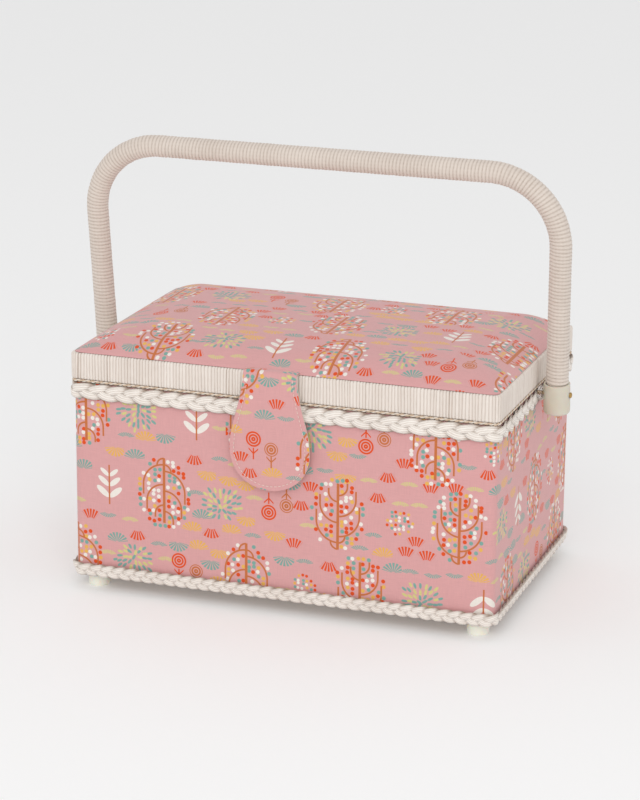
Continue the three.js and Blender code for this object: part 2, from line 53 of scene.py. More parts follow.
# ---- Camera ------------------------------------------------------------------------------------
# A long lens a little above the lid and to the right of the front, with a slight roll.

CAMERA_AZIMUTH = 19.03
CAMERA_ELEVATION = 16.43
CAMERA_ROLL = 0.50
CAMERA_DISTANCE = 1.915
CAMERA_LENS = 125.4
CAMERA_TARGET = Vector((-0.0018, -0.0084, 0.1251))

camera_data = bpy.data.cameras.new("camera")
camera_data.lens = CAMERA_LENS
camera_data.clip_end = 100
camera = bpy.data.objects.new("camera", camera_data)
bpy.context.collection.objects.link(camera)
azimuth = math.radians(CAMERA_AZIMUTH)
elevation = math.radians(CAMERA_ELEVATION)
towards_camera = Vector((
    math.sin(azimuth) * math.cos(elevation),
    -math.cos(azimuth) * math.cos(elevation),
    math.sin(elevation),
))
camera.location = CAMERA_TARGET + towards_camera * CAMERA_DISTANCE
level = towards_camera.to_track_quat("Z", "Y")
camera.rotation_mode = "QUATERNION"
camera.rotation_quaternion = level @ Quaternion((0, 0, 1), math.radians(CAMERA_ROLL))
bpy.context.scene.camera = camera

# ---- Studio ------------------------------------------------------------------------------------
# A white floor that fills the view, an even white surround, and one large soft light in
# front, a little above the box. The floor glows faintly, as a lit table does.

FLOOR_HALF = 40.0
FLOOR_COLOUR = (0.82, 0.82, 0.82, 1)
FLOOR_GLOW = 0.16
SURROUND_STRENGTH = 0.74
SOFTBOX_SIZE = 2.4
SOFTBOX_POWER = 32
SOFTBOX_PLACE = Vector((0.75, -2.6, 1.9))
SOFTBOX_AIM = Vector((0, 0, 0.1))

bpy.context.scene.view_settings.view_transform = "Standard"
world = bpy.data.worlds.new("surround")
world.use_nodes = True
world.node_tree.nodes["Background"].inputs["Color"].default_value = (1, 1, 1, 1)
world.node_tree.nodes["Background"].inputs["Strength"].default_value = SURROUND_STRENGTH
bpy.context.scene.world = world

floor_mesh = bpy.data.meshes.new("floor")
floor_mesh.from_pydata(
    [
        (-FLOOR_HALF, -FLOOR_HALF, 0),
        (FLOOR_HALF, -FLOOR_HALF, 0),
        (FLOOR_HALF, FLOOR_HALF, 0),
        (-FLOOR_HALF, FLOOR_HALF, 0),
    ],
    [],
    [(0, 1, 2, 3)],
)
floor = bpy.data.objects.new("floor", floor_mesh)
bpy.context.collection.objects.link(floor)
floor_material = bpy.data.materials.new("white_floor")
floor_material.use_nodes = True
floor_shader = floor_material.node_tree.nodes["Principled BSDF"]
floor_shader.inputs["Base Color"].default_value = FLOOR_COLOUR
floor_shader.inputs["Roughness"].default_value = 0.9
floor_shader.inputs["Emission Color"].default_value = (1, 1, 1, 1)
floor_shader.inputs["Emission Strength"].default_value = FLOOR_GLOW
floor_mesh.materials.append(floor_material)

softbox_data = bpy.data.lights.new("softbox", "AREA")
softbox_data.size = SOFTBOX_SIZE
softbox_data.energy = SOFTBOX_POWER
softbox = bpy.data.objects.new("softbox", softbox_data)
softbox.location = SOFTBOX_PLACE
softbox.rotation_euler = (SOFTBOX_AIM - SOFTBOX_PLACE).to_track_quat("-Z", "Y").to_euler()
bpy.context.collection.objects.link(softbox)


# ---- Boards ------------------------------------------------------------------------------------
# The body and the lid frame are thin brown fibreboard, glued at the corners. Little of it shows
# once the box is covered, so the boards, the tray ledges and the handle's core keep their CAD
# shape, with a pressed-fibre finish.

BOARD_PALE = (0.42, 0.27, 0.15, 1)
BOARD_DARK = (0.25, 0.145, 0.075, 1)


class Field:
    """A number that varies over a surface. Arithmetic on it adds Math nodes to its tree."""

    def __init__(self, tree, socket):
        self.tree = tree
        self.socket = socket

    def math(self, operation, *others):
        node = self.tree.nodes.new("ShaderNodeMath")
        node.operation = operation
        feed(self.tree, node.inputs[0], self)
        for index, other in enumerate(others):
            feed(self.tree, node.inputs[index + 1], other)
        return Field(self.tree, node.outputs[0])

    def __add__(self, other):
        return self.math("ADD", other)

    def __sub__(self, other):
        return self.math("SUBTRACT", other)

    def __mul__(self, other):
        return self.math("MULTIPLY", other)

    def __truediv__(self, other):
        return self.math("DIVIDE", other)

    def __neg__(self):
        return self.math("MULTIPLY", -1)

    def __mod__(self, other):
        return self.math("FLOORED_MODULO", other)

    def __abs__(self):
        return self.math("ABSOLUTE")


def feed(tree, socket, value):
    """Link a Field or a socket into an input, or set a plain number or colour on it."""
    if isinstance(value, Field):
        value = value.socket
    if isinstance(value, bpy.types.NodeSocket):
        tree.links.new(value, socket)
    else:
        socket.default_value = value


def add_node(tree, kind, settings=None, **inputs):
    """A node of one kind with its settings, and its inputs fed by name."""
    node = tree.nodes.new(kind)
    for name, value in (settings or {}).items():
        setattr(node, name, value)
    for name, value in inputs.items():
        feed(tree, node.inputs[name.replace("_", " ")], value)
    return node


def new_group(name, inputs, outputs):
    """An empty node group with named sockets: its tree, its inputs by name, and its output node."""
    tree = bpy.data.node_groups.new(name, "ShaderNodeTree")
    for socket, kind in inputs.items():
        tree.interface.new_socket(socket, in_out="INPUT", socket_type=f"NodeSocket{kind}")
    for socket, kind in outputs.items():
        tree.interface.new_socket(socket, in_out="OUTPUT", socket_type=f"NodeSocket{kind}")
    entry = tree.nodes.new("NodeGroupInput")
    given = {socket.name: socket for socket in entry.outputs if socket.name}
    return tree, given, tree.nodes.new("NodeGroupOutput")


def use_group(tree, group, **inputs):
    """A node that places a node group in a tree, with its inputs fed by name."""
    node = tree.nodes.new("ShaderNodeGroup")
    node.node_tree = group
    for name, value in inputs.items():
        feed(tree, node.inputs[name], value)
    return node


def new_material(name, roughness, **plain):
    """A material with a Principled shader: its tree and the shader. plain sets sockets on it."""
    material = bpy.data.materials.new(name)
    material.use_nodes = True
    tree = material.node_tree
    shader = tree.nodes["Principled BSDF"]
    shader.inputs["Roughness"].default_value = roughness
    for socket, value in plain.items():
        shader.inputs[socket.replace("_", " ")].default_value = value
    return material, tree, shader


def mix_colours(tree, factor, first, second):
    """The colour between two colours at a factor."""
    node = tree.nodes.new("ShaderNodeMix")
    node.data_type = "RGBA"
    feed(tree, node.inputs[0], factor)
    feed(tree, node.inputs[6], first)
    feed(tree, node.inputs[7], second)
    return node.outputs[2]


def bump(tree, shader, height, distance, strength=1.0):
    """Feed a height in units of distance into a shader's normal."""
    node = add_node(tree, "ShaderNodeBump", Strength=strength, Distance=distance, Height=height)
    tree.links.new(node.outputs["Normal"], shader.inputs["Normal"])


def noise(tree, vector, scale, detail=3.0, roughness=0.5):
    """A smooth noise between 0 and 1 on a vector in metres."""
    node = add_node(
        tree, "ShaderNodeTexNoise",
        Vector=vector, Scale=scale, Detail=detail, Roughness=roughness,
    )
    return Field(tree, node.outputs["Fac"])


def place_of(tree, kind="Object"):
    """The Texture Coordinate output of one kind."""
    return tree.nodes.new("ShaderNodeTexCoord").outputs[kind]


def finish_nodes(material, *names):
    """Put one material on CAD nodes that stay in view."""
    for name in names:
        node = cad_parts[name]
        node.data.materials.clear()
        node.data.materials.append(material)


def board_material():
    """Pressed fibreboard: brown fibres with darker flecks, slightly furry."""
    material, tree, shader = new_material("fibreboard", 0.82)
    place = place_of(tree)
    stretched = add_node(tree, "ShaderNodeMapping", Vector=place)
    stretched.inputs["Scale"].default_value = (0.35, 0.35, 1.6)
    fibres = noise(tree, stretched.outputs[0], 900, 5, 0.65)
    flecks = noise(tree, place, 260, 2)
    tone = (fibres * 0.7 + flecks * 0.5 - 0.1).math("SMOOTH_MIN", 1.0, 0.1)
    feed(tree, shader.inputs["Base Color"], mix_colours(tree, tone, BOARD_DARK, BOARD_PALE))
    bump(tree, shader, fibres, 0.15 * MM)
    return material


fibreboard = board_material()
finish_nodes(
    fibreboard,
    "front_panel", "back_panel", "left_panel", "right_panel", "bottom_panel", "lid_board",
    "lid_frame_front", "lid_frame_rear", "lid_frame_left", "lid_frame_right",
    "tray_ledge_front", "tray_ledge_rear", "handle_core",
)


# ---- Body cover --------------------------------------------------------------------------------
# One strip of printed cotton is pasted round the four boards, with its join at the middle of the
# rear. It lies flat, with the faint ripples that pasted cloth has, and both braids lie over it.

BODY_HALF = (148.6 * MM, 94.9 * MM)
BODY_CORNER = 6.1 * MM
COVER_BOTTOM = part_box("body_cover")[0].z
COVER_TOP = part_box("front_panel")[1].z - 0.2 * MM
COVER_THICKNESS = 0.7 * MM
COVER_RIPPLE = 0.16 * MM
COVER_COLUMNS = 820
COVER_ROWS = 26
COVER_DIP_START = 130 * MM
HINGE_X = 88 * MM
MORTISE_HALF = 12.5 * MM
MORTISE_DEPTH = 2.1 * MM


def path_length(half, corner):
    """The length round a rounded rectangle: four straights and one full circle."""
    return 4 * (half[0] + half[1] - 2 * corner) + 2 * math.pi * corner


def path_around(half, corner, distance, outwards=0.0):
    """Points and outward normals at distances along a rounded rectangle.

    The path starts at the middle of the rear and runs anticlockwise seen from above, so that it
    runs towards +X along the front. The normal's heading is constant along a side and turns
    evenly along a corner, while the corner's centre is the other way round: it moves along a
    side and waits at a corner. A point is the centre plus the normal times the corner radius
    and the distance outwards.
    """
    along_x = half[0] - corner
    along_y = half[1] - corner
    arc = math.pi / 2 * corner
    steps = [along_x, arc, 2 * along_y, arc, 2 * along_x, arc, 2 * along_y, arc, along_x]
    knots = np.concatenate(([0], np.cumsum(steps)))
    heading = np.radians([90, 90, 180, 180, 270, 270, 360, 360, 450, 450])
    centre_x = np.array([0, -1, -1, -1, -1, 1, 1, 1, 1, 0]) * along_x
    centre_y = np.array([1, 1, 1, -1, -1, -1, -1, 1, 1, 1]) * along_y
    wrapped = np.mod(distance, knots[-1])
    angle = np.interp(wrapped, knots, heading)
    normal = np.stack([np.cos(angle), np.sin(angle)], axis=-1)
    centre = np.stack([np.interp(wrapped, knots, centre_x), np.interp(wrapped, knots, centre_y)], -1)
    return centre + normal * (corner + np.asarray(outwards)[..., None]), normal


def mesh_piece(name, points, material, wrap_rows=False, wrap_columns=False, uv=None, sharp=None):
    """A piece whose points[row, column, xyz] are joined to their neighbours by quads.

    A wrapped direction also joins its last line to its first. uv has one value pair for each
    point, with one more line in a wrapped direction. Points at one place are merged, which
    closes poles, and a closed piece whose volume comes out negative is turned round.
    """
    rows, columns = points.shape[:2]
    row_steps = rows if wrap_rows else rows - 1
    column_steps = columns if wrap_columns else columns - 1
    row, column = np.meshgrid(np.arange(row_steps), np.arange(column_steps), indexing="ij")
    row, column = row.ravel(), column.ravel()
    corners = [(row, column), (row, column + 1), (row + 1, column + 1), (row + 1, column)]
    faces = np.stack([(r % rows) * columns + c % columns for r, c in corners], axis=-1)
    if uv is not None:
        uv = np.stack([uv[r, c] for r, c in corners], axis=1)

    flat = points.reshape(-1, 3)
    first, second, third, fourth = (flat[faces[:, i]] for i in range(4))
    volume = np.einsum("ij,ij->i", first, np.cross(second, third)).sum()
    volume += np.einsum("ij,ij->i", first, np.cross(third, fourth)).sum()
    if volume < 0:
        faces = faces[:, ::-1]
        uv = None if uv is None else uv[:, ::-1]

    mesh = bpy.data.meshes.new(name)
    mesh.from_pydata(flat, [], faces)
    if uv is not None:
        layer = mesh.uv_layers.new(name="surface")
        layer.data.foreach_set("uv", uv.astype(np.float32).ravel())
    merge_close_points(mesh)
    finish_shading(mesh, sharp)
    mesh.materials.append(material)
    piece = bpy.data.objects.new(name, mesh)
    bpy.context.collection.objects.link(piece)
    return piece


def merge_close_points(mesh, distance=1e-7):
    """Join the points of a mesh that share one place."""
    work = bmesh.new()
    work.from_mesh(mesh)
    bmesh.ops.remove_doubles(work, verts=work.verts, dist=distance)
    work.to_mesh(mesh)
    work.free()


def finish_shading(mesh, sharp=None):
    """Shade a mesh smooth, apart from edges that turn by more than sharp degrees."""
    mesh.shade_smooth()
    if sharp is not None:
        mesh.set_sharp_from_angle(angle=math.radians(sharp))


def smooth_step(value, low, high):
    """0 below low, 1 above high, and an S-shaped rise between them."""
    t = np.clip((value - low) / (high - low), 0, 1)
    return t * t * (3 - 2 * t)


def near_hinge(x, y):
    """1 over the rear board beside a hinge leaf and 0 elsewhere."""
    beside = 1 - smooth_step(np.abs(np.abs(x) - HINGE_X), MORTISE_HALF - 1 * MM, MORTISE_HALF)
    return beside * (y > 80 * MM)


def body_cover():
    """An upright sheet along the path, up its outside and down its inside.

    Depth ripples are a sum of slow sines of both directions, and the top edge dips at a hinge.
    """
    length = path_length(BODY_HALF, BODY_CORNER)
    distance = np.linspace(0, length, COVER_COLUMNS, endpoint=False)
    rise = np.linspace(COVER_BOTTOM, COVER_TOP, COVER_ROWS)
    height = np.concatenate([rise, rise[::-1]])
    depth = np.concatenate([np.zeros(COVER_ROWS), np.full(COVER_ROWS, -COVER_THICKNESS)])
    s, z = np.meshgrid(distance, height, indexing="ij")
    turn = 2 * math.pi * s / length
    ripple = np.sin(23 * turn + 40 * z) + np.sin(41 * turn - 65 * z + 1) * 0.6
    ripple = COVER_RIPPLE * (ripple * 0.35 - 0.65)
    plan, _ = path_around(BODY_HALF, BODY_CORNER, s, depth[None, :] + ripple)
    rising = smooth_step(z, COVER_DIP_START, COVER_TOP)
    dip = near_hinge(plan[..., 0], plan[..., 1]) * MORTISE_DEPTH * rising
    points = np.concatenate([plan, (z - dip)[..., None]], axis=-1)
    u, v = np.meshgrid(np.append(distance, length), np.append(height, height[0]), indexing="ij")
    return mesh_piece(
        "body_cover_cloth", points, print_cloth_flat,
        wrap_rows=True, wrap_columns=True, uv=np.stack([u, v], -1), sharp=60,
    )


# The cloth is a plain-weave cotton printed with a small woodland pattern: branching trees hung with
# round fruit, leaf bushes, heads of berries, sprigs, coiled buds and tufts of grass. The sizes below
# are on the cloth.

PRINT_GROUND = (0.682, 0.356, 0.352, 1)
PRINT_WHITE = (0.83, 0.775, 0.71, 1)
PRINT_ORANGE = (0.72, 0.08, 0.012, 1)
PRINT_BROWN = (0.56, 0.165, 0.05, 1)
PRINT_MUSTARD = (0.78, 0.44, 0.10, 1)
PRINT_TEAL = (0.20, 0.385, 0.335, 1)
PRINT_LIME = (0.64, 0.59, 0.235, 1)
LARGE_CELL = (41 * MM, 53 * MM)
SMALL_CELL = (15 * MM, 12.5 * MM)
SMALL_REACH = (4 * MM, 2 * MM)
ROW_SHIFT = 0.43
KIND_PER_COLUMN = 0.382
KIND_PER_ROW = 0.27
KIND_START = 0.11
LARGE_SEED = 5.0
SMALL_SEED = 23.0
LARGE_SWAY = 2.0 * MM
SMALL_SWAY = (1.8 * MM, 2.8 * MM)
MOTIF_EDGE = 0.25 * MM
# Each large motif's share of the bricks, as the number at which it starts, and its half size. A
# colour ramp holds the half sizes as shares of HALF_SCALE.
MOTIF_STARTS = {"tree": 0.0, "bush": 0.42, "berries": 0.62, "sprig": 0.77, "buds": 0.89}
MOTIF_HALF = {
    "tree": (18 * MM, 25 * MM), "bush": (15 * MM, 12 * MM), "berries": (10 * MM, 10 * MM),
    "sprig": (11 * MM, 15 * MM), "buds": (12 * MM, 14 * MM),
}
HALF_SCALE = 40 * MM
SPOT_SLIDE = 0.9
SPOT_JITTER = 0.4
TRUNK_HALF = 0.95 * MM
BOUGH_HALF = 0.62 * MM
FRUIT_SPACING = 3.55 * MM
FRUIT_RADIUS = 1.4 * MM
FRUIT_CLEARANCE = 0.85 * MM
LEAF_SPACING = 3.6 * MM
LEAF_HALF = 0.9 * MM
BERRY_SPACING = 2.9 * MM
BERRY_RADIUS = 1.05 * MM
BERRY_HEAD_RADIUS = 9.2 * MM
# A bough's centre on the trunk, its radius and its drop, all in millimetres.
TREE_BOUGHS = ((-18, 6.5, 2.5), (-9.5, 12.5, 6), (2, 15, 7), (16.5, 5, 0))
# A leaf's height on its stem and its size, in millimetres, and the cosine and sine of its lean.
SPRIG_LEAVES = ((-9, 6.0), (-1, 5.2), (6, 4.2))
LEAF_LEAN = (0.64, 0.77)
# A bud's place across and up, and its radius, in millimetres, with its colour.
BUDS = ((-6, -5, 6.0, PRINT_ORANGE), (6.5, 1, 4.8, PRINT_BROWN))
# Shapes of grass tufts, as grass_tuft reads them, and each kind's share of the small bricks.
COMB = (7.5, 4.2, 10.6, 0.66, 0.24, 1.0)
DOME = (3.4, 1.2, 8.2, 1.35, 0.34, 1.15)
MOON = (4.2, 2.4, 6.8, 1.15, 0.26, 1.75)
TUFT_KINDS = (
    (0.0, 0.28, PRINT_ORANGE, COMB), (0.28, 0.46, PRINT_MUSTARD, DOME),
    (0.46, 0.66, PRINT_TEAL, MOON), (0.66, 0.84, PRINT_LIME, MOON), (0.84, 1.0, PRINT_TEAL, DOME),
)
COTTON_PITCH = 0.42 * MM


def inside(distance, reach, edge=MOTIF_EDGE):
    """1 where a distance is under a reach and 0 beyond it, with a thin soft edge."""
    return (-(distance - reach) / edge + 0.5).math("MAXIMUM", 0.0).math("MINIMUM", 1.0)


def length_of(x, y):
    """The distance of (x, y) from the origin."""
    return (x * x + y * y).math("SQRT")


def pick(chance, low, high):
    """1 where a cell's number lies between two limits, and 0 elsewhere."""
    return chance.math("GREATER_THAN", low) * chance.math("LESS_THAN", high)


def numbers_of(tree, column, row, seed):
    """Three random numbers for a brick."""
    place = add_node(tree, "ShaderNodeCombineXYZ", X=column, Y=row, Z=seed)
    random = add_node(
        tree, "ShaderNodeTexWhiteNoise", {"noise_dimensions": "3D"}, Vector=place.outputs[0],
    )
    parts = add_node(tree, "ShaderNodeSeparateColor", Color=random.outputs["Color"])
    return [Field(tree, parts.outputs[i]) for i in range(3)]


def bricks(x, y, cell):
    """Bricks of one size, each row shifted: local x and y from a brick's middle, column and row."""
    row = (y / cell[1]).math("FLOOR")
    shifted = x + (row * ROW_SHIFT).math("FRACT") * cell[0]
    column = (shifted / cell[0]).math("FLOOR")
    local_x = shifted - (column + 0.5) * cell[0]
    local_y = y - (row + 0.5) * cell[1]
    return local_x, local_y, column, row


def large_motif(tree, x, y):
    """The large brick at a place: x and y from its motif, which motif it is, and a random number.

    The motif number steps evenly from brick to brick, so that neighbours differ.
    """
    local_x, local_y, column, row = bricks(x, y, LARGE_CELL)
    shift_x, shift_y, turn = numbers_of(tree, column, row, LARGE_SEED)
    kind = (column * KIND_PER_COLUMN + row * KIND_PER_ROW + KIND_START).math("FRACT")
    local_x = local_x + (shift_x - 0.5) * (2 * LARGE_SWAY)
    local_y = local_y + (shift_y - 0.5) * (2 * LARGE_SWAY)
    return local_x, local_y, kind, turn


def fruit_colours(tree, random):
    """One of white, orange, mustard and teal for a random number."""
    ramp = tree.nodes.new("ShaderNodeValToRGB")
    ramp.color_ramp.interpolation = "CONSTANT"
    stops = ramp.color_ramp.elements
    stops[0].color = PRINT_WHITE
    stops[1].position, stops[1].color = 0.32, PRINT_ORANGE
    for place, colour in ((0.56, PRINT_MUSTARD), (0.78, PRINT_TEAL)):
        stops.new(place).color = colour
    feed(tree, ramp.inputs[0], random)
    return ramp.outputs[0]


def spots(tree, x, y, spacing, turn):
    """Points on a jittered lattice: x and y from the nearest one, that point, and its number.

    turn is the brick's own number, which slides the lattice so that no two motifs are alike.
    """
    slide = turn * SPOT_SLIDE
    place = add_node(tree, "ShaderNodeCombineXYZ", X=x + slide, Y=y)
    cells = add_node(
        tree, "ShaderNodeTexVoronoi", {"voronoi_dimensions": "2D"},
        Vector=place.outputs[0], Scale=1 / spacing, Randomness=SPOT_JITTER,
    )
    middle = add_node(tree, "ShaderNodeSeparateXYZ", Vector=cells.outputs["Position"])
    middle_x, middle_y = Field(tree, middle.outputs[0]) - slide, Field(tree, middle.outputs[1])
    parts = add_node(tree, "ShaderNodeSeparateColor", Color=cells.outputs["Color"])
    return x - middle_x, y - middle_y, middle_x, middle_y, Field(tree, parts.outputs[0])


def trunk_and_boughs(x, y, grow):
    """The wood of a tree: a straight trunk, and arched boughs on both sides at uneven heights.

    A bough is a quarter ring from the trunk that ends in a straight drop: the distance from its
    centre on the trunk uses y only above the centre. A sign of x shifts one side against the
    other, and grow widens it all.
    """
    side = abs(x)
    uneven = y + x.math("SIGN") * (2.2 * MM)
    wood = inside(side, TRUNK_HALF + grow) * inside(abs(y - 1 * MM), 23 * MM + grow)
    for centre, radius, drop in TREE_BOUGHS:
        above = uneven - centre * MM
        ring = abs(length_of(side, above.math("MAXIMUM", 0.0)) - radius * MM)
        wood = wood.math("MAXIMUM", inside(ring, BOUGH_HALF + grow) * inside(-above, drop * MM + grow))
    return wood


def branching_tree(tree, colour, x, y, chosen, turn):
    """A tree with fruit all round its boughs, but none whose middle would touch the wood."""
    dx, dy, middle_x, middle_y, random = spots(tree, x, y, FRUIT_SPACING, turn)
    crown = length_of(middle_x / 18.7, (middle_y + 1 * MM) / 25.5).math("LESS_THAN", 1 * MM)
    apart = trunk_and_boughs(middle_x, middle_y, FRUIT_CLEARANCE).math("LESS_THAN", 0.5)
    fruit = inside(length_of(dx, dy), FRUIT_RADIUS) * crown * apart
    colour = mix_colours(tree, fruit * chosen, colour, fruit_colours(tree, random))
    return mix_colours(tree, trunk_and_boughs(x, y, 0) * chosen, colour, PRINT_BROWN)


def leaf_bush(tree, colour, x, y, chosen, turn):
    """Slim leaves in a wide oval, each of them an ellipse turned to point out from the middle."""
    dx, dy, middle_x, middle_y, random = spots(tree, x, y, LEAF_SPACING, turn)
    away = length_of(middle_x, middle_y + 4 * MM) + 0.1 * MM
    lead_x, lead_y = middle_x / away, (middle_y + 4 * MM) / away
    along = dx * lead_x + dy * lead_y
    across = dx * lead_y - dy * lead_x
    leaf = inside(length_of(along * 0.42, across), LEAF_HALF)
    crown = length_of(middle_x / 14.5, middle_y / 11.5).math("LESS_THAN", 1 * MM)
    green = mix_colours(tree, random.math("GREATER_THAN", 0.6), PRINT_TEAL, PRINT_LIME)
    return mix_colours(tree, leaf * crown * chosen, colour, green)


def berry_head(tree, colour, x, y, chosen, turn):
    """A round head of small berries."""
    dx, dy, middle_x, middle_y, random = spots(tree, x, y, BERRY_SPACING, turn)
    head = length_of(middle_x, middle_y).math("LESS_THAN", BERRY_HEAD_RADIUS)
    berry = inside(length_of(dx, dy), BERRY_RADIUS) * head
    return mix_colours(tree, berry * chosen, colour, fruit_colours(tree, random))


def hanging_bud(tree, colour, x, y, chosen, radius, hue):
    """A bud of coiled petals on a stalk: rings round a middle, and two short twigs above."""
    away = length_of(x, y)
    coil = inside(abs(away % (1.9 * MM) - 0.95 * MM), 0.6 * MM) * inside(away, radius)
    stalk = inside(abs(x), 0.5 * MM) * inside(abs(y - radius - 4 * MM), 4 * MM)
    fork = y - radius - 4 * MM + abs(x)
    twig = inside(abs(fork), 0.6 * MM) * inside(abs(x), 3.4 * MM)
    return mix_colours(tree, coil.math("MAXIMUM", stalk.math("MAXIMUM", twig)) * chosen, colour, hue)


def sprig(tree, colour, x, y, chosen):
    """Three pairs of long pale leaves on a brown stem: each leaf is an oval leaning outwards."""
    side = abs(x)
    cosine, sine = LEAF_LEAN
    for lift, size in SPRIG_LEAVES:
        raised = y - lift * MM
        across = side * cosine - raised * sine
        along = side * sine + raised * cosine - size * MM
        leaf = inside(length_of(across * 2.7, along), size * 0.96 * MM)
        colour = mix_colours(tree, leaf * chosen, colour, PRINT_WHITE)
    stem = inside(side, 0.55 * MM) * inside(abs(y), 14 * MM)
    return mix_colours(tree, stem * chosen, colour, PRINT_BROWN)


def grass_tuft(tree, colour, x, y, chosen, hue, shape):
    """A fan of blades above one point: even stripes of heading, between two distances from it.

    shape gives how far the point lies below, the two distances, the widest heading, the heading
    from blade to blade, and how much the fan is flattened.
    """
    below, near, far, widest, step, flatten = shape
    raised = y * flatten + below * MM
    away = length_of(x, raised)
    heading = x.math("ARCTAN2", raised)
    blade = inside(abs((heading + step / 2) % step - step / 2), step * 0.31, step * 0.12)
    length = inside(abs(away - (near + far) / 2 * MM), (far - near) / 2 * MM)
    fan = length * inside(abs(heading), widest, 0.05)
    return mix_colours(tree, blade * fan * chosen, colour, hue)


def woodland_print():
    """The printed pattern as a group: a place on the cloth in, its colour out.

    A small motif shows only where its own middle is clear of the large motif beside it, so the
    large brick is looked up twice: at the small motif's middle and at the place itself.
    """
    tree, given, result = new_group("woodland_print", {"Place": "Vector"}, {"Color": "Color"})
    parts = add_node(tree, "ShaderNodeSeparateXYZ", Vector=given["Place"])
    x, y = Field(tree, parts.outputs[0]), Field(tree, parts.outputs[1])

    small_x, small_y, column, row = bricks(x, y, SMALL_CELL)
    kind, shift_x, shift_y = numbers_of(tree, column, row, SMALL_SEED)
    small_x = small_x + (shift_x - 0.5) * (2 * SMALL_SWAY[0])
    small_y = small_y + (shift_y - 0.5) * (2 * SMALL_SWAY[1])
    beside_x, beside_y, beside_kind, _ = large_motif(tree, x - small_x, y - small_y)
    halves = tree.nodes.new("ShaderNodeValToRGB")
    halves.color_ramp.interpolation = "CONSTANT"
    stops = halves.color_ramp.elements
    stops.remove(stops[1])
    for name, start in MOTIF_STARTS.items():
        stop = stops[0] if start == 0 else stops.new(start)
        stop.color = tuple(
            (half + reach) / HALF_SCALE for half, reach in zip(MOTIF_HALF[name], SMALL_REACH)
        ) + (0, 1)
    feed(tree, halves.inputs[0], beside_kind)
    half = add_node(tree, "ShaderNodeSeparateColor", Color=halves.outputs[0])
    share_x = beside_x / (Field(tree, half.outputs[0]) * HALF_SCALE)
    share_y = beside_y / (Field(tree, half.outputs[1]) * HALF_SCALE)
    clear = length_of(share_x, share_y).math("GREATER_THAN", 1.0)
    small_y = small_y * ((kind * 7.0).math("FRACT").math("GREATER_THAN", 0.4) * 2.0 - 1.0)
    colour = PRINT_GROUND
    for low, high, hue, shape in TUFT_KINDS:
        colour = grass_tuft(tree, colour, small_x, small_y, pick(kind, low, high) * clear, hue, shape)

    large_x, large_y, kind, turn = large_motif(tree, x, y)
    large_y = large_y * (turn.math("GREATER_THAN", 0.5) * 2.0 - 1.0)
    starts = [*MOTIF_STARTS.values(), 1.0]
    chosen = [pick(kind, low, high) for low, high in zip(starts, starts[1:])]
    colour = branching_tree(tree, colour, large_x, large_y, chosen[0], turn)
    colour = leaf_bush(tree, colour, large_x, large_y, chosen[1], turn)
    colour = berry_head(tree, colour, large_x, large_y, chosen[2], turn)
    colour = sprig(tree, colour, large_x, large_y, chosen[3])
    for across, up, radius, hue in BUDS:
        colour = hanging_bud(
            tree, colour, large_x - across * MM, large_y - up * MM, chosen[4], radius * MM, hue,
        )
    feed(tree, result.inputs["Color"], colour)
    return tree


def plain_weave():
    """A plain weave as a group: place, thread pitch, and a height and a thread tone out.

    The height is the product of two sines, one along each thread, so that threads pass over and
    under each other in turn. The tone varies slowly along each thread.
    """
    tree, given, result = new_group(
        "plain_weave", {"Place": "Vector", "Pitch": "Float"}, {"Height": "Float", "Tone": "Float"},
    )
    parts = add_node(tree, "ShaderNodeSeparateXYZ", Vector=given["Place"])
    pitch = Field(tree, given["Pitch"])
    across = Field(tree, parts.outputs[0]) / pitch * math.pi
    along = Field(tree, parts.outputs[1]) / pitch * math.pi
    crossing = across.math("SINE") * along.math("SINE")
    feed(tree, result.inputs["Height"], crossing * 0.5 + 0.5)
    threads = []
    for stretch in ((1, 0.04, 1), (0.04, 1, 1)):
        node = add_node(tree, "ShaderNodeMapping", Vector=given["Place"])
        node.inputs["Scale"].default_value = stretch
        threads.append(noise(tree, node.outputs[0], 2600, 1))
    feed(tree, result.inputs["Tone"], threads[0] * 0.5 + threads[1] * 0.5)
    return tree


woodland = woodland_print()
weave = plain_weave()


def printed_cotton(name, place_kind, offset):
    """Printed cotton whose pattern lies in the plane of a UV map or of Object x and y."""
    material, tree, shader = new_material(name, 0.88, Sheen_Weight=0.25, Specular_IOR_Level=0.25)
    moved = add_node(tree, "ShaderNodeMapping", Vector=place_of(tree, place_kind))
    moved.inputs["Location"].default_value = offset
    pattern = use_group(tree, woodland, Place=moved.outputs[0])
    threads = use_group(tree, weave, Place=moved.outputs[0], Pitch=COTTON_PITCH)
    # The weave's height darkens the colour a little: painted shade in the dips between threads, beside
    # the random thread tone.
    tone = Field(tree, threads.outputs["Tone"]) * 0.3 + Field(tree, threads.outputs["Height"]) * 0.06
    shaded = add_node(
        tree, "ShaderNodeVectorMath", {"operation": "SCALE"},
        Vector=pattern.outputs[0], Scale=tone + 0.84,
    )
    feed(tree, shader.inputs["Base Color"], shaded.outputs[0])
    bump(tree, shader, threads.outputs["Height"], 0.12 * MM, 0.55)
    return material


print_cloth_flat = printed_cotton("printed_cotton_body", "UV", (0.013, 0.004, 0))

cover = body_cover()
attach(cover, "body")
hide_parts("body_cover")
path_length(BODY_HALF, BODY_CORNER)


# ---- Linings -----------------------------------------------------------------------------------
# Plain cream cotton lines the body, from its floor up the inside of the boards and over their top
# edges, and another piece lines the underside of the lid. Both are glued down.

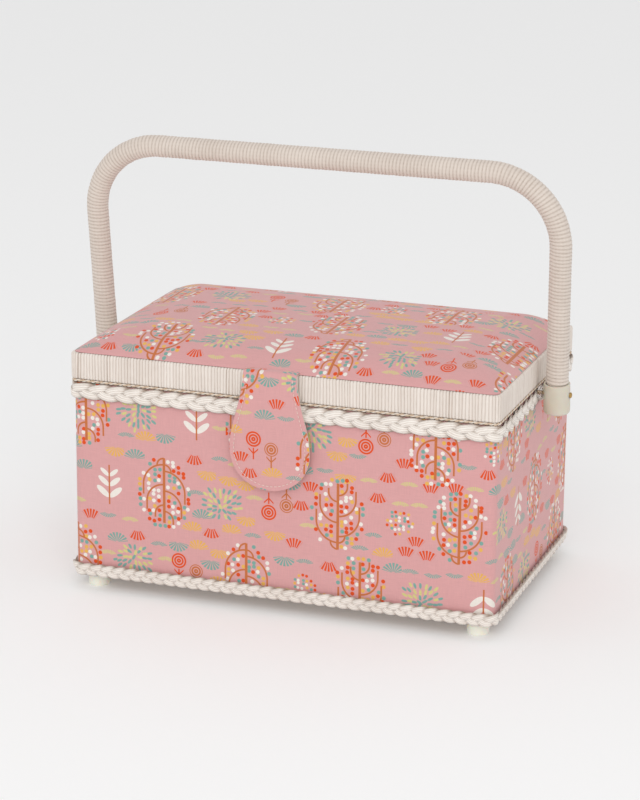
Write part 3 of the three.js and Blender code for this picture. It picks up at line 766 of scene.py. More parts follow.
LINING_INSIDE = (141.4 * MM, 87.7 * MM)
LINING_CORNER = 1.5 * MM
LINING_THICKNESS = 0.6 * MM
LINING_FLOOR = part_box("body_lining")[0].z + 0.1 * MM
BOARD_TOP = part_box("front_panel")[1].z
FOLD_HEIGHT = 0.3 * MM
FOLD_REACH = 6.6 * MM
LINING_PUCKER = 0.22 * MM
LINING_SPINE = 55 * MM
LINING_PITCH = 0.5 * MM
LINING_COLUMNS = 560
FLOOR_LINES = 14
WALL_LINES = 24
FOLD_LINES = 8
CREAM_PALE = (0.87, 0.80, 0.70, 1)
CREAM_DEEP = (0.70, 0.61, 0.505, 1)


def plain_cotton():
    """Undyed cotton: a plain weave with slubs, and a faint unevenness in its colour."""
    material, tree, shader = new_material(
        "plain_cotton", 0.9, Sheen_Weight=0.2, Specular_IOR_Level=0.25,
    )
    place = place_of(tree, "UV")
    threads = use_group(tree, weave, Place=place, Pitch=LINING_PITCH)
    cloud = noise(tree, place, 22, 3)
    tone = Field(tree, threads.outputs["Tone"]) * 0.75 + cloud * 0.35 - 0.1
    feed(tree, shader.inputs["Base Color"], mix_colours(tree, tone, CREAM_DEEP, CREAM_PALE))
    bump(tree, shader, threads.outputs["Height"], 0.12 * MM, 0.6)
    return material


def drawn_to_spine(plan, spine, share):
    """Plan points moved a share of the way to the nearest point of a spine along x."""
    nearest = np.stack([np.clip(plan[..., 0], -spine, spine), np.zeros_like(share)], -1)
    return plan + (nearest - plan) * share[..., None]


def travel_along(first, second):
    """The way travelled from a line's start to each of its points, from their two coordinates."""
    return np.concatenate([[0], np.cumsum(np.hypot(np.diff(first), np.diff(second)))])


def body_lining():
    """A bowl with square walls: floor, walls and the fold over the boards, as one thick sheet.

    The section runs out along the floor, up the wall and out over the board's top edge, then
    back along the same line one thickness below. In the mortises it dips under the hinge leaf.
    """
    length = path_length(LINING_INSIDE, LINING_CORNER)
    distance = np.linspace(0, length, LINING_COLUMNS, endpoint=False)
    wall = np.linspace(0, 1, WALL_LINES)[1:]
    floor_top = LINING_FLOOR + LINING_THICKNESS
    fold_top = BOARD_TOP + FOLD_HEIGHT
    outwards = np.concatenate([
        np.linspace(-0.99, 0, FLOOR_LINES) * LINING_INSIDE[1], np.zeros(len(wall)),
        np.linspace(0.3 * MM, FOLD_REACH, FOLD_LINES),
    ])
    height = np.concatenate([
        np.full(FLOOR_LINES, floor_top), floor_top + wall * (fold_top - 0.3 * MM - floor_top),
        np.full(FOLD_LINES, fold_top),
    ])
    folded = np.arange(len(height)) >= FLOOR_LINES + len(wall)
    under_height = np.where(folded, height - 0.25 * MM, height)
    under_height = np.where(np.arange(len(height)) < FLOOR_LINES, LINING_FLOOR, under_height)
    under_out = np.where(folded, outwards, outwards + LINING_THICKNESS)
    under_out = np.where(folded, np.maximum(under_out, LINING_THICKNESS), under_out)
    outwards = np.concatenate([outwards, under_out[::-1]])
    height = np.concatenate([height, under_height[::-1]])
    folded = np.concatenate([folded, folded[::-1]])
    s, z = np.meshgrid(distance, height, indexing="ij")
    inset = np.minimum(outwards, 0)[None, :] + np.zeros_like(s)
    centre_share = np.clip(-inset / LINING_INSIDE[1], 0, 1)
    plan, normal = path_around(LINING_INSIDE, LINING_CORNER, s, np.zeros_like(s))
    plan = drawn_to_spine(plan, LINING_SPINE, centre_share)
    rising = np.sin(np.clip((z - floor_top) / (BOARD_TOP - floor_top), 0, 1) * math.pi)
    pucker = LINING_PUCKER * rising * (0.6 + 0.4 * np.sin(s * 190 + 2 * np.sin(s * 37)))
    plan = plan + normal * (np.maximum(outwards, 0)[None, :] - pucker)[..., None]
    dip = near_hinge(plan[..., 0], plan[..., 1]) * folded[None, :] * MORTISE_DEPTH
    points = np.concatenate([plan, (z - dip)[..., None]], axis=-1)
    travel = travel_along(outwards, height)
    u, v = np.meshgrid(np.append(distance, length), np.append(travel, 0), indexing="ij")
    return mesh_piece(
        "body_lining_cloth", points, cream_cotton,
        wrap_rows=True, wrap_columns=True, uv=np.stack([u, v], -1), sharp=50,
    )


cream_cotton = plain_cotton()
lining = body_lining()
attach(lining, "body")
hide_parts("body_lining")
lining_wall = BOARD_TOP - LINING_FLOOR
lining_floor_area = 4 * LINING_INSIDE[0] * LINING_INSIDE[1]
lining_wall_area = path_length(LINING_INSIDE, LINING_CORNER) * (lining_wall + FOLD_REACH)
lining_floor_area + lining_wall_area

LID_LINING_HALF = (138.4 * MM, 84.7 * MM)
LID_LINING_CORNER = 4 * MM
LID_LINING_TURN = 1.2 * MM
LID_LINING_RINGS = 30
LID_SPINE = 54 * MM


def lid_lining():
    """A flat sheet with rounded edges under the lid board."""
    low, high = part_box("lid_lining")
    ring = np.linspace(1, 0.004, LID_LINING_RINGS)
    inset = np.concatenate([ring, [0], ring[::-1]])
    edge = np.sqrt(1 - np.clip(1 - inset * LID_LINING_HALF[1] / LID_LINING_TURN, 0, 1) ** 2)
    middle = (low.z + high.z) / 2
    half = (high.z - low.z) / 2 - 0.05 * MM
    above = np.where(np.arange(len(inset)) < LID_LINING_RINGS, -1, 1) * edge
    length = path_length(LID_LINING_HALF, LID_LINING_CORNER)
    distance = np.linspace(0, length, 400, endpoint=False)
    s, share = np.meshgrid(distance, inset, indexing="ij")
    plan, _ = path_around(LID_LINING_HALF, LID_LINING_CORNER, s)
    plan = drawn_to_spine(plan, LID_SPINE, share)
    z = middle + above[None, :] * half + np.zeros_like(s)
    points = np.concatenate([plan, z[..., None]], axis=-1)
    wrapped = np.concatenate([plan, plan[:1]], axis=0)
    return mesh_piece("lid_lining_cloth", points, cream_cotton, wrap_rows=True, uv=wrapped, sharp=60)


underside = lid_lining()
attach(underside, "lid")
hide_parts("lid_lining")


# ---- Braids ------------------------------------------------------------------------------------
# A flat plait of three soft cotton strands is glued round the top of the body, and another over
# its bottom edge. Each strand is a bundle of loose yarns, pressed flat where a rivet goes through.

STRAND_WIDTH = 5.2 * MM
STRAND_THICKNESS = 1.45 * MM
STRAND_SWING = 2.35 * MM
STRAND_LIFT = 0.82 * MM
STRAND_YARNS = 5
STRAND_ROUND = 12 * MM
STRAND_POINTS = 40
YARN_DEPTH = 0.15
YARN_UNEVENNESS = 0.05
BRAID_STEP = 1.3 * MM
BRAID_MIDDLE = 1.62 * MM
BRAID_LEAN = -0.2
TOP_PERIOD = 38 * MM
BOTTOM_PERIOD = 25 * MM
PRESS_HALF = 6.5 * MM
PRESS_THIN = 0.62
HINGE_PRESS_HALF = 17 * MM
HINGE_PRESS_NARROW = 0.25
HINGE_PRESS_DROP = 1.35 * MM
PIVOT_HEIGHT = 144.3 * MM
CORD_PALE = (0.93, 0.87, 0.805, 1)
CORD_DEEP = (0.60, 0.475, 0.39, 1)
CORD_DARK = (0.40, 0.29, 0.22, 1)


def fibres_group():
    """Fine fibres as a group: a place that runs along the cord in v, and a tone and height out."""
    tree, given, result = new_group(
        "cord_fibres", {"Place": "Vector", "Fineness": "Float"}, {"Tone": "Float", "Height": "Float"},
    )
    slim = add_node(tree, "ShaderNodeMapping", Vector=given["Place"])
    slim.inputs["Scale"].default_value = (1, 0.12, 1)
    fine = noise(tree, slim.outputs[0], given["Fineness"], 3, 0.6)
    broad = noise(tree, given["Place"], 30, 2)
    feed(tree, result.inputs["Height"], fine)
    feed(tree, result.inputs["Tone"], fine * 0.65 + broad * 0.45 - 0.05)
    return tree


cord_fibres = fibres_group()


def cord_material(name, pale, deep, depth_shade=0.0):
    """Soft cotton yarn lying along v, with loose fibres. u runs across the cord.

    A mesh attribute holds painted shade for each point: 1 in the grooves between yarns and 0 on
    their crowns. depth_shade is how far the painted shade goes towards the deep colour.
    """
    material, tree, shader = new_material(name, 0.92, Sheen_Weight=0.3, Specular_IOR_Level=0.2)
    fibres = use_group(tree, cord_fibres, Place=place_of(tree, "UV"), Fineness=2200)
    groove_shade = add_node(tree, "ShaderNodeAttribute", {"attribute_name": "groove_shade"})
    groove = Field(tree, groove_shade.outputs["Fac"]) * depth_shade
    tone = Field(tree, fibres.outputs["Tone"]) - groove
    feed(tree, shader.inputs["Base Color"], mix_colours(tree, tone + 0.54, deep, pale))
    bump(tree, shader, fibres.outputs["Height"], 0.22 * MM, 0.7)
    return material


def set_groove_shade(piece, values):
    """Keep one painted-shade weight for each point, mostly groove depth, for the materials to darken
    by.
    """
    layer = piece.data.attributes.new("groove_shade", "FLOAT", "POINT")
    layer.data.foreach_set("value", np.asarray(values, dtype=np.float32).ravel())


def full_turn(count):
    """Even angles once round, the first of them zero."""
    return np.linspace(0, 2 * math.pi, count, endpoint=False)


def plait_strand(name, number, period, middle_height, half_height, press, tilt):
    """One strand of a flat plait that runs round the box.

    Along the plait the strand's middle swings across as a full sine, and in and out as a sine of
    twice the rate, so that it passes over and under the other two in turn. The section is a
    flat oval with a ripple for each yarn, turned to follow the swing. press gives, at each
    distance, how far the plait is flattened, lowered and narrowed there. tilt leans the plait.
    """
    length = path_length(BODY_HALF, BODY_CORNER)
    periods = round(length / period)
    steps = int(length / BRAID_STEP)
    distance = np.linspace(0, length, steps, endpoint=False)
    shift = 2 * math.pi * number / 3
    phase = 2 * math.pi * periods * distance / length + shift
    random = np.random.default_rng(40 + number)
    uneven = np.append(random.normal(0, YARN_UNEVENNESS, 199), 0)
    wobble = np.interp(distance, np.linspace(0, length, 200), uneven, period=length)
    narrow, thin, drop = press(*np.moveaxis(path_around(BODY_HALF, BODY_CORNER, distance)[0], -1, 0))
    grow = half_height / (STRAND_SWING + STRAND_WIDTH / 2)
    wave = np.sin(phase)
    swing = np.sign(wave) * np.abs(wave) ** 0.75 * STRAND_SWING * grow * (1 + wobble)
    lift = np.sin(2 * phase) * STRAND_LIFT
    turn = np.arctan(np.cos(phase) * STRAND_SWING * 2 * math.pi * periods / length)

    angle = full_turn(STRAND_POINTS)
    yarns = 1 + YARN_DEPTH * (np.cos(angle * STRAND_YARNS * 2) - 1)
    wide = np.sign(np.cos(angle)) * np.abs(np.cos(angle)) ** 0.9 * yarns * STRAND_WIDTH / 2 * grow
    deep = np.sin(angle) * yarns * STRAND_THICKNESS / 2
    across = swing[:, None] + wide[None, :] * np.cos(turn)[:, None]
    ahead = distance[:, None] - wide[None, :] * np.sin(turn)[:, None]
    out = lift[:, None] + deep[None, :]

    across = across * narrow[:, None]
    out = out * thin[:, None]
    height = middle_height + across * math.cos(tilt) + out * math.sin(tilt) - drop[:, None]
    outwards = BRAID_MIDDLE * thin[:, None] + out * math.cos(tilt) - across * math.sin(tilt)
    plan, _ = path_around(BODY_HALF, BODY_CORNER, ahead, outwards)
    points = np.concatenate([plan, height[..., None]], axis=-1)
    u, v = np.meshgrid(
        np.linspace(0, STRAND_ROUND, STRAND_POINTS + 1), np.append(distance, length), indexing="xy",
    )
    strand = mesh_piece(
        name, points, braid_yarn, wrap_rows=True, wrap_columns=True, uv=np.stack([u, v], -1),
    )
    # Painted shade for the material: darker between yarns, where a strand dips under the other two,
    # and along the strand's two edges.
    between_yarns = ((1 - yarns) / YARN_DEPTH / 2)[None, :] ** 2
    buried = np.clip(-(lift / STRAND_LIFT)[:, None], 0, 1) ** 2
    rim_side = np.abs(np.cos(angle))[None, :] ** 4
    set_groove_shade(strand, between_yarns * 0.55 + buried * 0.85 + rim_side * 0.45)
    return strand


def press_top(x, y):
    """The top plait is thin behind each pivot spacer, and low and narrow under each hinge."""
    pivot = (np.abs(x) > BODY_HALF[0] - 1 * MM) * np.exp(-((y / PRESS_HALF) ** 4))
    hinge = (y > 0) * np.exp(-(((np.abs(x) - HINGE_X) / HINGE_PRESS_HALF) ** 6))
    return 1 - HINGE_PRESS_NARROW * hinge, 1 - PRESS_THIN * pivot, HINGE_PRESS_DROP * hinge


def press_none(x, y):
    """The bottom plait is the same all round."""
    return np.ones_like(x), np.ones_like(x), np.zeros_like(x)


braid_yarn = cord_material("braid_yarn", CORD_PALE, CORD_DARK, 0.85)
# The last two numbers say how far the strands stand past the CAD trim's top and bottom, in
# millimetres.
for node, period, press, tilt, above, below in (
    ("top_braid", TOP_PERIOD, press_top, 0.0, 0.5, 1.3),
    ("bottom_braid", BOTTOM_PERIOD, press_none, BRAID_LEAN, 0.9, 0.4),
):
    low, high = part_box(node)
    strand_top, strand_bottom = high.z + above * MM, low.z - below * MM
    strands = [
        plait_strand(
            f"{node}_strand_{number + 1}", number, period,
            (strand_top + strand_bottom) / 2, (strand_top - strand_bottom) / 2, press, tilt,
        )
        for number in range(3)
    ]
    for strand in strands:
        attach(strand, "body")
    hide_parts(node)


# ---- Feet --------------------------------------------------------------------------------------
# Four moulded ivory plastic feet, each held by a steel screw up through its counterbore into the
# bottom board. A foot tapers a little towards its rounded lower edge.

FOOT_RADIUS = 8 * MM
FOOT_TAPER = 0.55 * MM
FOOT_ROUND = 1.4 * MM
FOOT_BORE = 3.7 * MM
FOOT_BORE_DEPTH = 3.2 * MM
FOOT_SCREW_HOLE = 1.9 * MM
FOOT_EDGE = 0.3 * MM
TURNED_SHARP = 35
IVORY_PALE = (0.97, 0.96, 0.86, 1)
IVORY_DEEP = (0.92, 0.90, 0.77, 1)
STEEL = (0.62, 0.61, 0.58, 1)
STEEL_DARK = (0.40, 0.39, 0.37, 1)
FOOT_NAMES = ("front_left", "front_right", "rear_left", "rear_right")


def turned(profile, steps):
    """A profile carried once round an axis, as the cosine side, the sine side and the way along.

    profile pairs are a distance from the axis and a place along it.
    """
    away, place = np.array(profile).T
    angle, radius = np.meshgrid(full_turn(steps), away, indexing="ij")
    along = np.broadcast_to(place, angle.shape)
    return np.cos(angle) * radius, np.sin(angle) * radius, along


def turn_upright(name, profile, centre, material):
    """A solid of revolution about a vertical axis: profile pairs are radius and height."""
    points = np.stack(turned(profile, 48), -1) + np.array(centre)
    return mesh_piece(name, points, material, wrap_rows=True, sharp=TURNED_SHARP)


def quarter(centre, radius, start, steps=6):
    """Points along a quarter circle in a profile, turning anticlockwise from a start angle."""
    angle = np.radians(np.linspace(start, start + 90, steps))
    return [(centre[0] + radius * math.cos(a), centre[1] + radius * math.sin(a)) for a in angle]


def moulded_plastic(name, pale, deep):
    """Glossy moulded plastic with flow marks, light rubbing and a little light passing in."""
    material, tree, shader = new_material(
        name, 0.36, Subsurface_Weight=0.25, Subsurface_Scale=2 * MM,
    )
    place = place_of(tree)
    cloud = noise(tree, place, 90, 3)
    rub = noise(tree, place, 700, 4, 0.7)
    feed(tree, shader.inputs["Base Color"], mix_colours(tree, cloud, deep, pale))
    feed(tree, shader.inputs["Roughness"], rub * 0.35 + 0.24)
    bump(tree, shader, rub, 0.04 * MM, 0.5)
    return material


ivory = moulded_plastic("ivory_plastic", IVORY_PALE, IVORY_DEEP)
for name in FOOT_NAMES:
    low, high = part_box(f"foot_{name}")
    tip = FOOT_RADIUS - FOOT_TAPER
    profile = [
        (FOOT_SCREW_HOLE, high.z), (FOOT_SCREW_HOLE, FOOT_BORE_DEPTH), (FOOT_BORE, FOOT_BORE_DEPTH),
        (FOOT_BORE, FOOT_EDGE), (FOOT_BORE + FOOT_EDGE, 0),
        *quarter((tip - FOOT_ROUND, FOOT_ROUND), FOOT_ROUND, -90),
        (FOOT_RADIUS - FOOT_EDGE, high.z - 2 * FOOT_EDGE), (FOOT_RADIUS - 2 * FOOT_EDGE, high.z),
        (FOOT_SCREW_HOLE, high.z),
    ]
    middle = (low + high) / 2
    foot = turn_upright(f"foot_{name}_moulding", profile, (middle.x, middle.y, 0), ivory)
    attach(foot, "body")
    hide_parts(f"foot_{name}")


def brushed_metal(name, colour, dark, roughness):
    """Bare metal with fine rubbing marks and a darker film in patches."""
    material, tree, shader = new_material(name, roughness, Metallic=1.0)
    place = place_of(tree)
    marks = noise(tree, place, 1500, 4, 0.7)
    film = noise(tree, place, 170, 3)
    feed(tree, shader.inputs["Base Color"], mix_colours(tree, film * 1.4 - 0.2, dark, colour))
    feed(tree, shader.inputs["Roughness"], marks * 0.3 + roughness - 0.1)
    bump(tree, shader, marks, 0.02 * MM, 0.5)
    return material


steel = brushed_metal("plated_steel", STEEL, STEEL_DARK, 0.34)
finish_nodes(steel, *(f"foot_screw_{name}" for name in FOOT_NAMES))


# ---- Ledges and trays --------------------------------------------------------------------------
# Two trays of thick card covered with cream cotton stand on a ledge at the front and the rear.
# Each has a finger notch in its end walls, and dividers that drop in below its rim.

TRAY_ROUND = 0.7 * MM
TRAY_ROUND_SEGMENTS = 3


def softened_copy(node_name, piece_name, material, width):
    """A CAD node's shape with its flat faces whole again and its edges rounded over."""
    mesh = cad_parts[node_name].data.copy()
    mesh.name = piece_name
    merge_close_points(mesh, 2e-6)
    work = bmesh.new()
    work.from_mesh(mesh)
    bmesh.ops.dissolve_limit(
        work, angle_limit=math.radians(2), verts=work.verts, edges=work.edges,
    )
    work.to_mesh(mesh)
    work.free()
    mesh.materials.clear()
    mesh.materials.append(material)
    piece = bpy.data.objects.new(piece_name, mesh)
    bpy.context.collection.objects.link(piece)
    rounding = piece.modifiers.new("rounded_edges", "BEVEL")
    rounding.width = width
    rounding.segments = TRAY_ROUND_SEGMENTS
    rounding.limit_method = "ANGLE"
    rounding.angle_limit = math.radians(40)
    rounding.harden_normals = True
    finish_shading(mesh, 40)
    return piece


def covered_card():
    """Cotton pulled tight over card: a weave whose two directions also take in the height, so that
    it runs over upright faces too, and a slow unevenness."""
    material, tree, shader = new_material(
        "covered_card", 0.88, Sheen_Weight=0.2, Specular_IOR_Level=0.25,
    )
    place = place_of(tree)
    parts = add_node(tree, "ShaderNodeSeparateXYZ", Vector=place)
    x, y, z = (Field(tree, parts.outputs[i]) for i in range(3))
    folded = add_node(tree, "ShaderNodeCombineXYZ", X=x + z, Y=y + z * 0.998)
    threads = use_group(tree, weave, Place=folded.outputs[0], Pitch=LINING_PITCH)
    cloud = noise(tree, place, 26, 3)
    tone = Field(tree, threads.outputs["Tone"]) * 0.6 + cloud * 0.5 - 0.1
    feed(tree, shader.inputs["Base Color"], mix_colours(tree, tone, CREAM_DEEP, CREAM_PALE))
    bump(tree, shader, Field(tree, threads.outputs["Height"]) * 0.6 + cloud * 1.2, 0.14 * MM, 0.6)
    return material


card_cover = covered_card()
for side in ("left", "right"):
    for part in ("tray", "tray_cross_divider", "tray_long_divider"):
        node = f"{side}_{part}"
        piece = softened_copy(node, f"{node}_covered", card_cover, TRAY_ROUND)
        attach(piece, f"{side}_tray")
        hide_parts(node)


# ---- Lid pad -----------------------------------------------------------------------------------
# A block of foam lies on the lid board, and printed cotton is pulled over it and tucked in behind
# the cord-wound rim. The cotton swells over the foam and falls away towards edges and corners.

PAD_HALF = (148.3 * MM, 94.6 * MM)
PAD_CORNER = 5 * MM
PAD_RISE = 11.4 * MM
PAD_ROLL = 30 * MM
PAD_LIP = 2 * MM
PAD_EDGE = 0.6 * MM
PAD_CROWN = 1.0 * MM
PAD_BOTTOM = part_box("lid_cover")[0].z
PAD_COLUMNS = 300
PAD_RINGS = 36
PAD_HELD_UNDER = 0.1 * MM
PAD_HELD_EDGE = 6 * MM
PAD_PRESSURE = 4.0
PAD_SWELL = 1.2 * MM
PAD_FRAMES = 20
FOAM_INSET = 1.2 * MM
FOAM_PALE = (0.83, 0.77, 0.60, 1)
FOAM_DEEP = (0.50, 0.42, 0.27, 1)


def pad_solid(name, shrink, material):
    """A pillow with a flat underside, from rounded rectangles that shrink to a spine.

    Each side lifts the height as a quarter sine until the roll is reached, and the lifts of the
    two directions are multiplied, so the corners stay low. A quarter circle closes the outermost
    lip, and the crown is a product of two parabolas over the whole plan.
    """
    half = (PAD_HALF[0] - shrink, PAD_HALF[1] - shrink)
    length = path_length(half, PAD_CORNER)
    distance = np.linspace(0, length, PAD_COLUMNS, endpoint=False)
    ring = 1 - np.cos(np.linspace(0, math.pi / 2, PAD_RINGS))
    inset = np.concatenate([ring[::-1], ring])
    s, share = np.meshgrid(distance, inset, indexing="ij")
    plan, _ = path_around(half, PAD_CORNER, s)
    plan = drawn_to_spine(plan, LID_SPINE, share)
    lip = np.sqrt(1 - np.clip(1 - share * half[1] / PAD_LIP, 0, 1) ** 2)
    roll = lip
    for along, reach in zip(np.moveaxis(plan, -1, 0), half):
        depth = np.clip((reach - np.abs(along)) / PAD_ROLL, 0, 1)
        roll = roll * np.sin(math.pi / 2 * depth)
    crown = (1 - (plan[..., 0] / half[0]) ** 2) * (1 - (plan[..., 1] / half[1]) ** 2)
    top = (PAD_RISE - shrink) * roll + PAD_CROWN * crown + PAD_EDGE * lip
    upper = np.arange(len(inset)) >= len(ring)
    z = PAD_BOTTOM + np.where(upper[None, :], top, 0)
    points = np.concatenate([plan, z[..., None]], axis=-1)
    return mesh_piece(name, points, material, wrap_rows=True)


def inflate(piece):
    """Swell a pad as cloth under pressure, with its underside and its tucked-in edge held.

    A point goes no further from its start than the allowed swell, and its way is scaled by an
    S-shaped rise from the held edge to the end of the roll.
    """
    mesh = piece.data
    start = np.empty(len(mesh.vertices) * 3, dtype=np.float32)
    mesh.vertices.foreach_get("co", start)
    start = start.reshape(-1, 3)
    from_edge = np.min(np.array(PAD_HALF) - np.abs(start[:, :2]), axis=1)
    held = piece.vertex_groups.new(name="held")
    still = (start[:, 2] < PAD_BOTTOM + PAD_HELD_UNDER) | (from_edge < PAD_HELD_EDGE)
    held.add(np.flatnonzero(still).tolist(), 1.0, "REPLACE")
    cloth = piece.modifiers.new("swelling", "CLOTH")
    cloth.settings.quality = 6
    cloth.settings.mass = 0.25
    cloth.settings.tension_stiffness = 12
    cloth.settings.bending_stiffness = 0.6
    cloth.settings.use_pressure = True
    cloth.settings.uniform_pressure_force = PAD_PRESSURE
    cloth.settings.effector_weights.gravity = 0
    cloth.settings.vertex_group_mass = held.name
    cloth.collision_settings.use_collision = False
    for number in range(1, PAD_FRAMES + 1):
        bpy.context.scene.frame_set(number)
    solved = piece.evaluated_get(bpy.context.evaluated_depsgraph_get()).data
    swollen = np.empty_like(start).ravel()
    solved.vertices.foreach_get("co", swollen)
    move = swollen.reshape(-1, 3) - start
    far = np.linalg.norm(move, axis=1, keepdims=True)
    move *= PAD_SWELL * np.tanh(far / PAD_SWELL) / np.maximum(far, 1e-9)
    move *= smooth_step(from_edge, PAD_HELD_EDGE, PAD_ROLL)[:, None]
    piece.modifiers.remove(cloth)
    piece.vertex_groups.remove(held)
    mesh.vertices.foreach_set("co", (start + move).ravel())
    bpy.context.scene.frame_set(1)


def foam_material():
    """Open-cell foam: cream, with a pitted surface and its pits painted darker as shade."""
    material, tree, shader = new_material("upholstery_foam", 0.95, Subsurface_Weight=0.2)
    place = place_of(tree)
    cells = add_node(tree, "ShaderNodeTexVoronoi", Vector=place, Scale=1100)
    pit = Field(tree, cells.outputs["Distance"])
    feed(tree, shader.inputs["Base Color"], mix_colours(tree, pit * 1.4, FOAM_DEEP, FOAM_PALE))
    bump(tree, shader, pit, 0.3 * MM)
    return material


foam = pad_solid("lid_foam_block", FOAM_INSET, foam_material())
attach(foam, "lid")
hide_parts("lid_foam")

print_cloth_lid = printed_cotton("printed_cotton_lid", "Object", (0.006, 0.043, 0))
pad = pad_solid("lid_cover_cloth", 0, print_cloth_lid)
inflate(pad)
finer = pad.modifiers.new("finer", "SUBSURF")
finer.levels = 1
finer.render_levels = 1
finish_shading(pad.data)
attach(pad, "lid")
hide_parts("lid_cover")


# ---- Rim wrap ----------------------------------------------------------------------------------
# The lid's rim is a board frame wound with a stiff cream cord, one turn beside the next, so that
# its face shows upright ribs. The turns are not quite even, and open a little at the corners.

RIM_HALF = (150 * MM, 96.3 * MM)
RIM_CORNER = 5 * MM
RIM_BOTTOM = 147.2 * MM
RIM_TOP = 167.2 * MM
RIM_DEPTH = 2.0 * MM
RIM_INNER_LEG = 11 * MM
RIM_PITCH = 2.15 * MM
RIB_HEIGHT = 0.58 * MM
RIB_SAMPLES = (0.0, 0.1, 0.28, 0.5, 0.72, 0.9)
TWINE_GROOVE_TOP = 149.3 * MM
TWINE_GROOVE_DEPTH = 2.2 * MM
RIM_MIDDLE = 158 * MM
RIM_SPREAD = 0.075
RIM_PROUD = 0.07 * MM
RIM_LEAN = 0.10
RIM_OPEN_SHARE = 0.05
RIM_OPEN_GAP = 1.7
RIM_MORTISE_TOP = 149.35 * MM
RIM_PALE = (0.84, 0.765, 0.70, 1)
RIM_DARK = (0.42, 0.31, 0.235, 1)


def uneven_widths(count, total, spread, random):
    """Positions of ribs whose widths vary by a spread and add up to a total."""
    widths = np.maximum(random.normal(1, spread, count), 0.6)
    return np.concatenate([[0], np.cumsum(widths / widths.sum() * total)])


def rim_section():
    """The wound rim's section as outward distance, height and rib strength, once round.

    It starts at the inner leg's top, runs under the frame and up the outer face to the top,
    and comes back along the frame boards. The step in it makes room for the twine.
    """
    corner = 1.0 * MM
    outer = [
        (-RIM_INNER_LEG + corner * 0.3, RIM_MIDDLE, 0.6), (-RIM_INNER_LEG, 155 * MM, 1),
        (-RIM_INNER_LEG, 150 * MM, 1), (-RIM_INNER_LEG, RIM_BOTTOM + corner, 1),
        (-RIM_INNER_LEG + corner * 0.3, RIM_BOTTOM + corner * 0.3, 1),
        (-RIM_INNER_LEG + corner, RIM_BOTTOM, 1), (-6 * MM, RIM_BOTTOM, 1),
        (-TWINE_GROOVE_DEPTH - 0.4 * MM, RIM_BOTTOM, 1),
        (-TWINE_GROOVE_DEPTH, RIM_BOTTOM + 0.4 * MM, 1), (-TWINE_GROOVE_DEPTH, 148.7 * MM, 0.7),
        (-TWINE_GROOVE_DEPTH + 0.5 * MM, TWINE_GROOVE_TOP, 0.7),
        (-0.7 * MM, TWINE_GROOVE_TOP + 0.05 * MM, 1), (-0.15 * MM, TWINE_GROOVE_TOP + 0.5 * MM, 1),
        (0, TWINE_GROOVE_TOP + 1.4 * MM, 1), (0, 155 * MM, 1), (0, 160 * MM, 1),
        (0, RIM_TOP - 1.6 * MM, 1), (-0.25 * MM, RIM_TOP - 0.6 * MM, 1),
        (-0.8 * MM, RIM_TOP - 0.1 * MM, 1), (-1.5 * MM, RIM_TOP + 0.05 * MM, 0.8),
        (-4.5 * MM, RIM_TOP + 0.05 * MM, 0.3),
    ]
    inner = [
        (-4.5 * MM, RIM_TOP - 0.2 * MM, 0), (-RIM_DEPTH - 0.3 * MM, RIM_TOP - 0.25 * MM, 0),
        (-RIM_DEPTH - 0.2 * MM, 150 * MM, 0),
        (-4 * MM, 149.7 * MM, 0), (-9.4 * MM, 149.9 * MM, 0), (-9.7 * MM, RIM_MIDDLE, 0),
    ]
    return np.array(outer + inner)


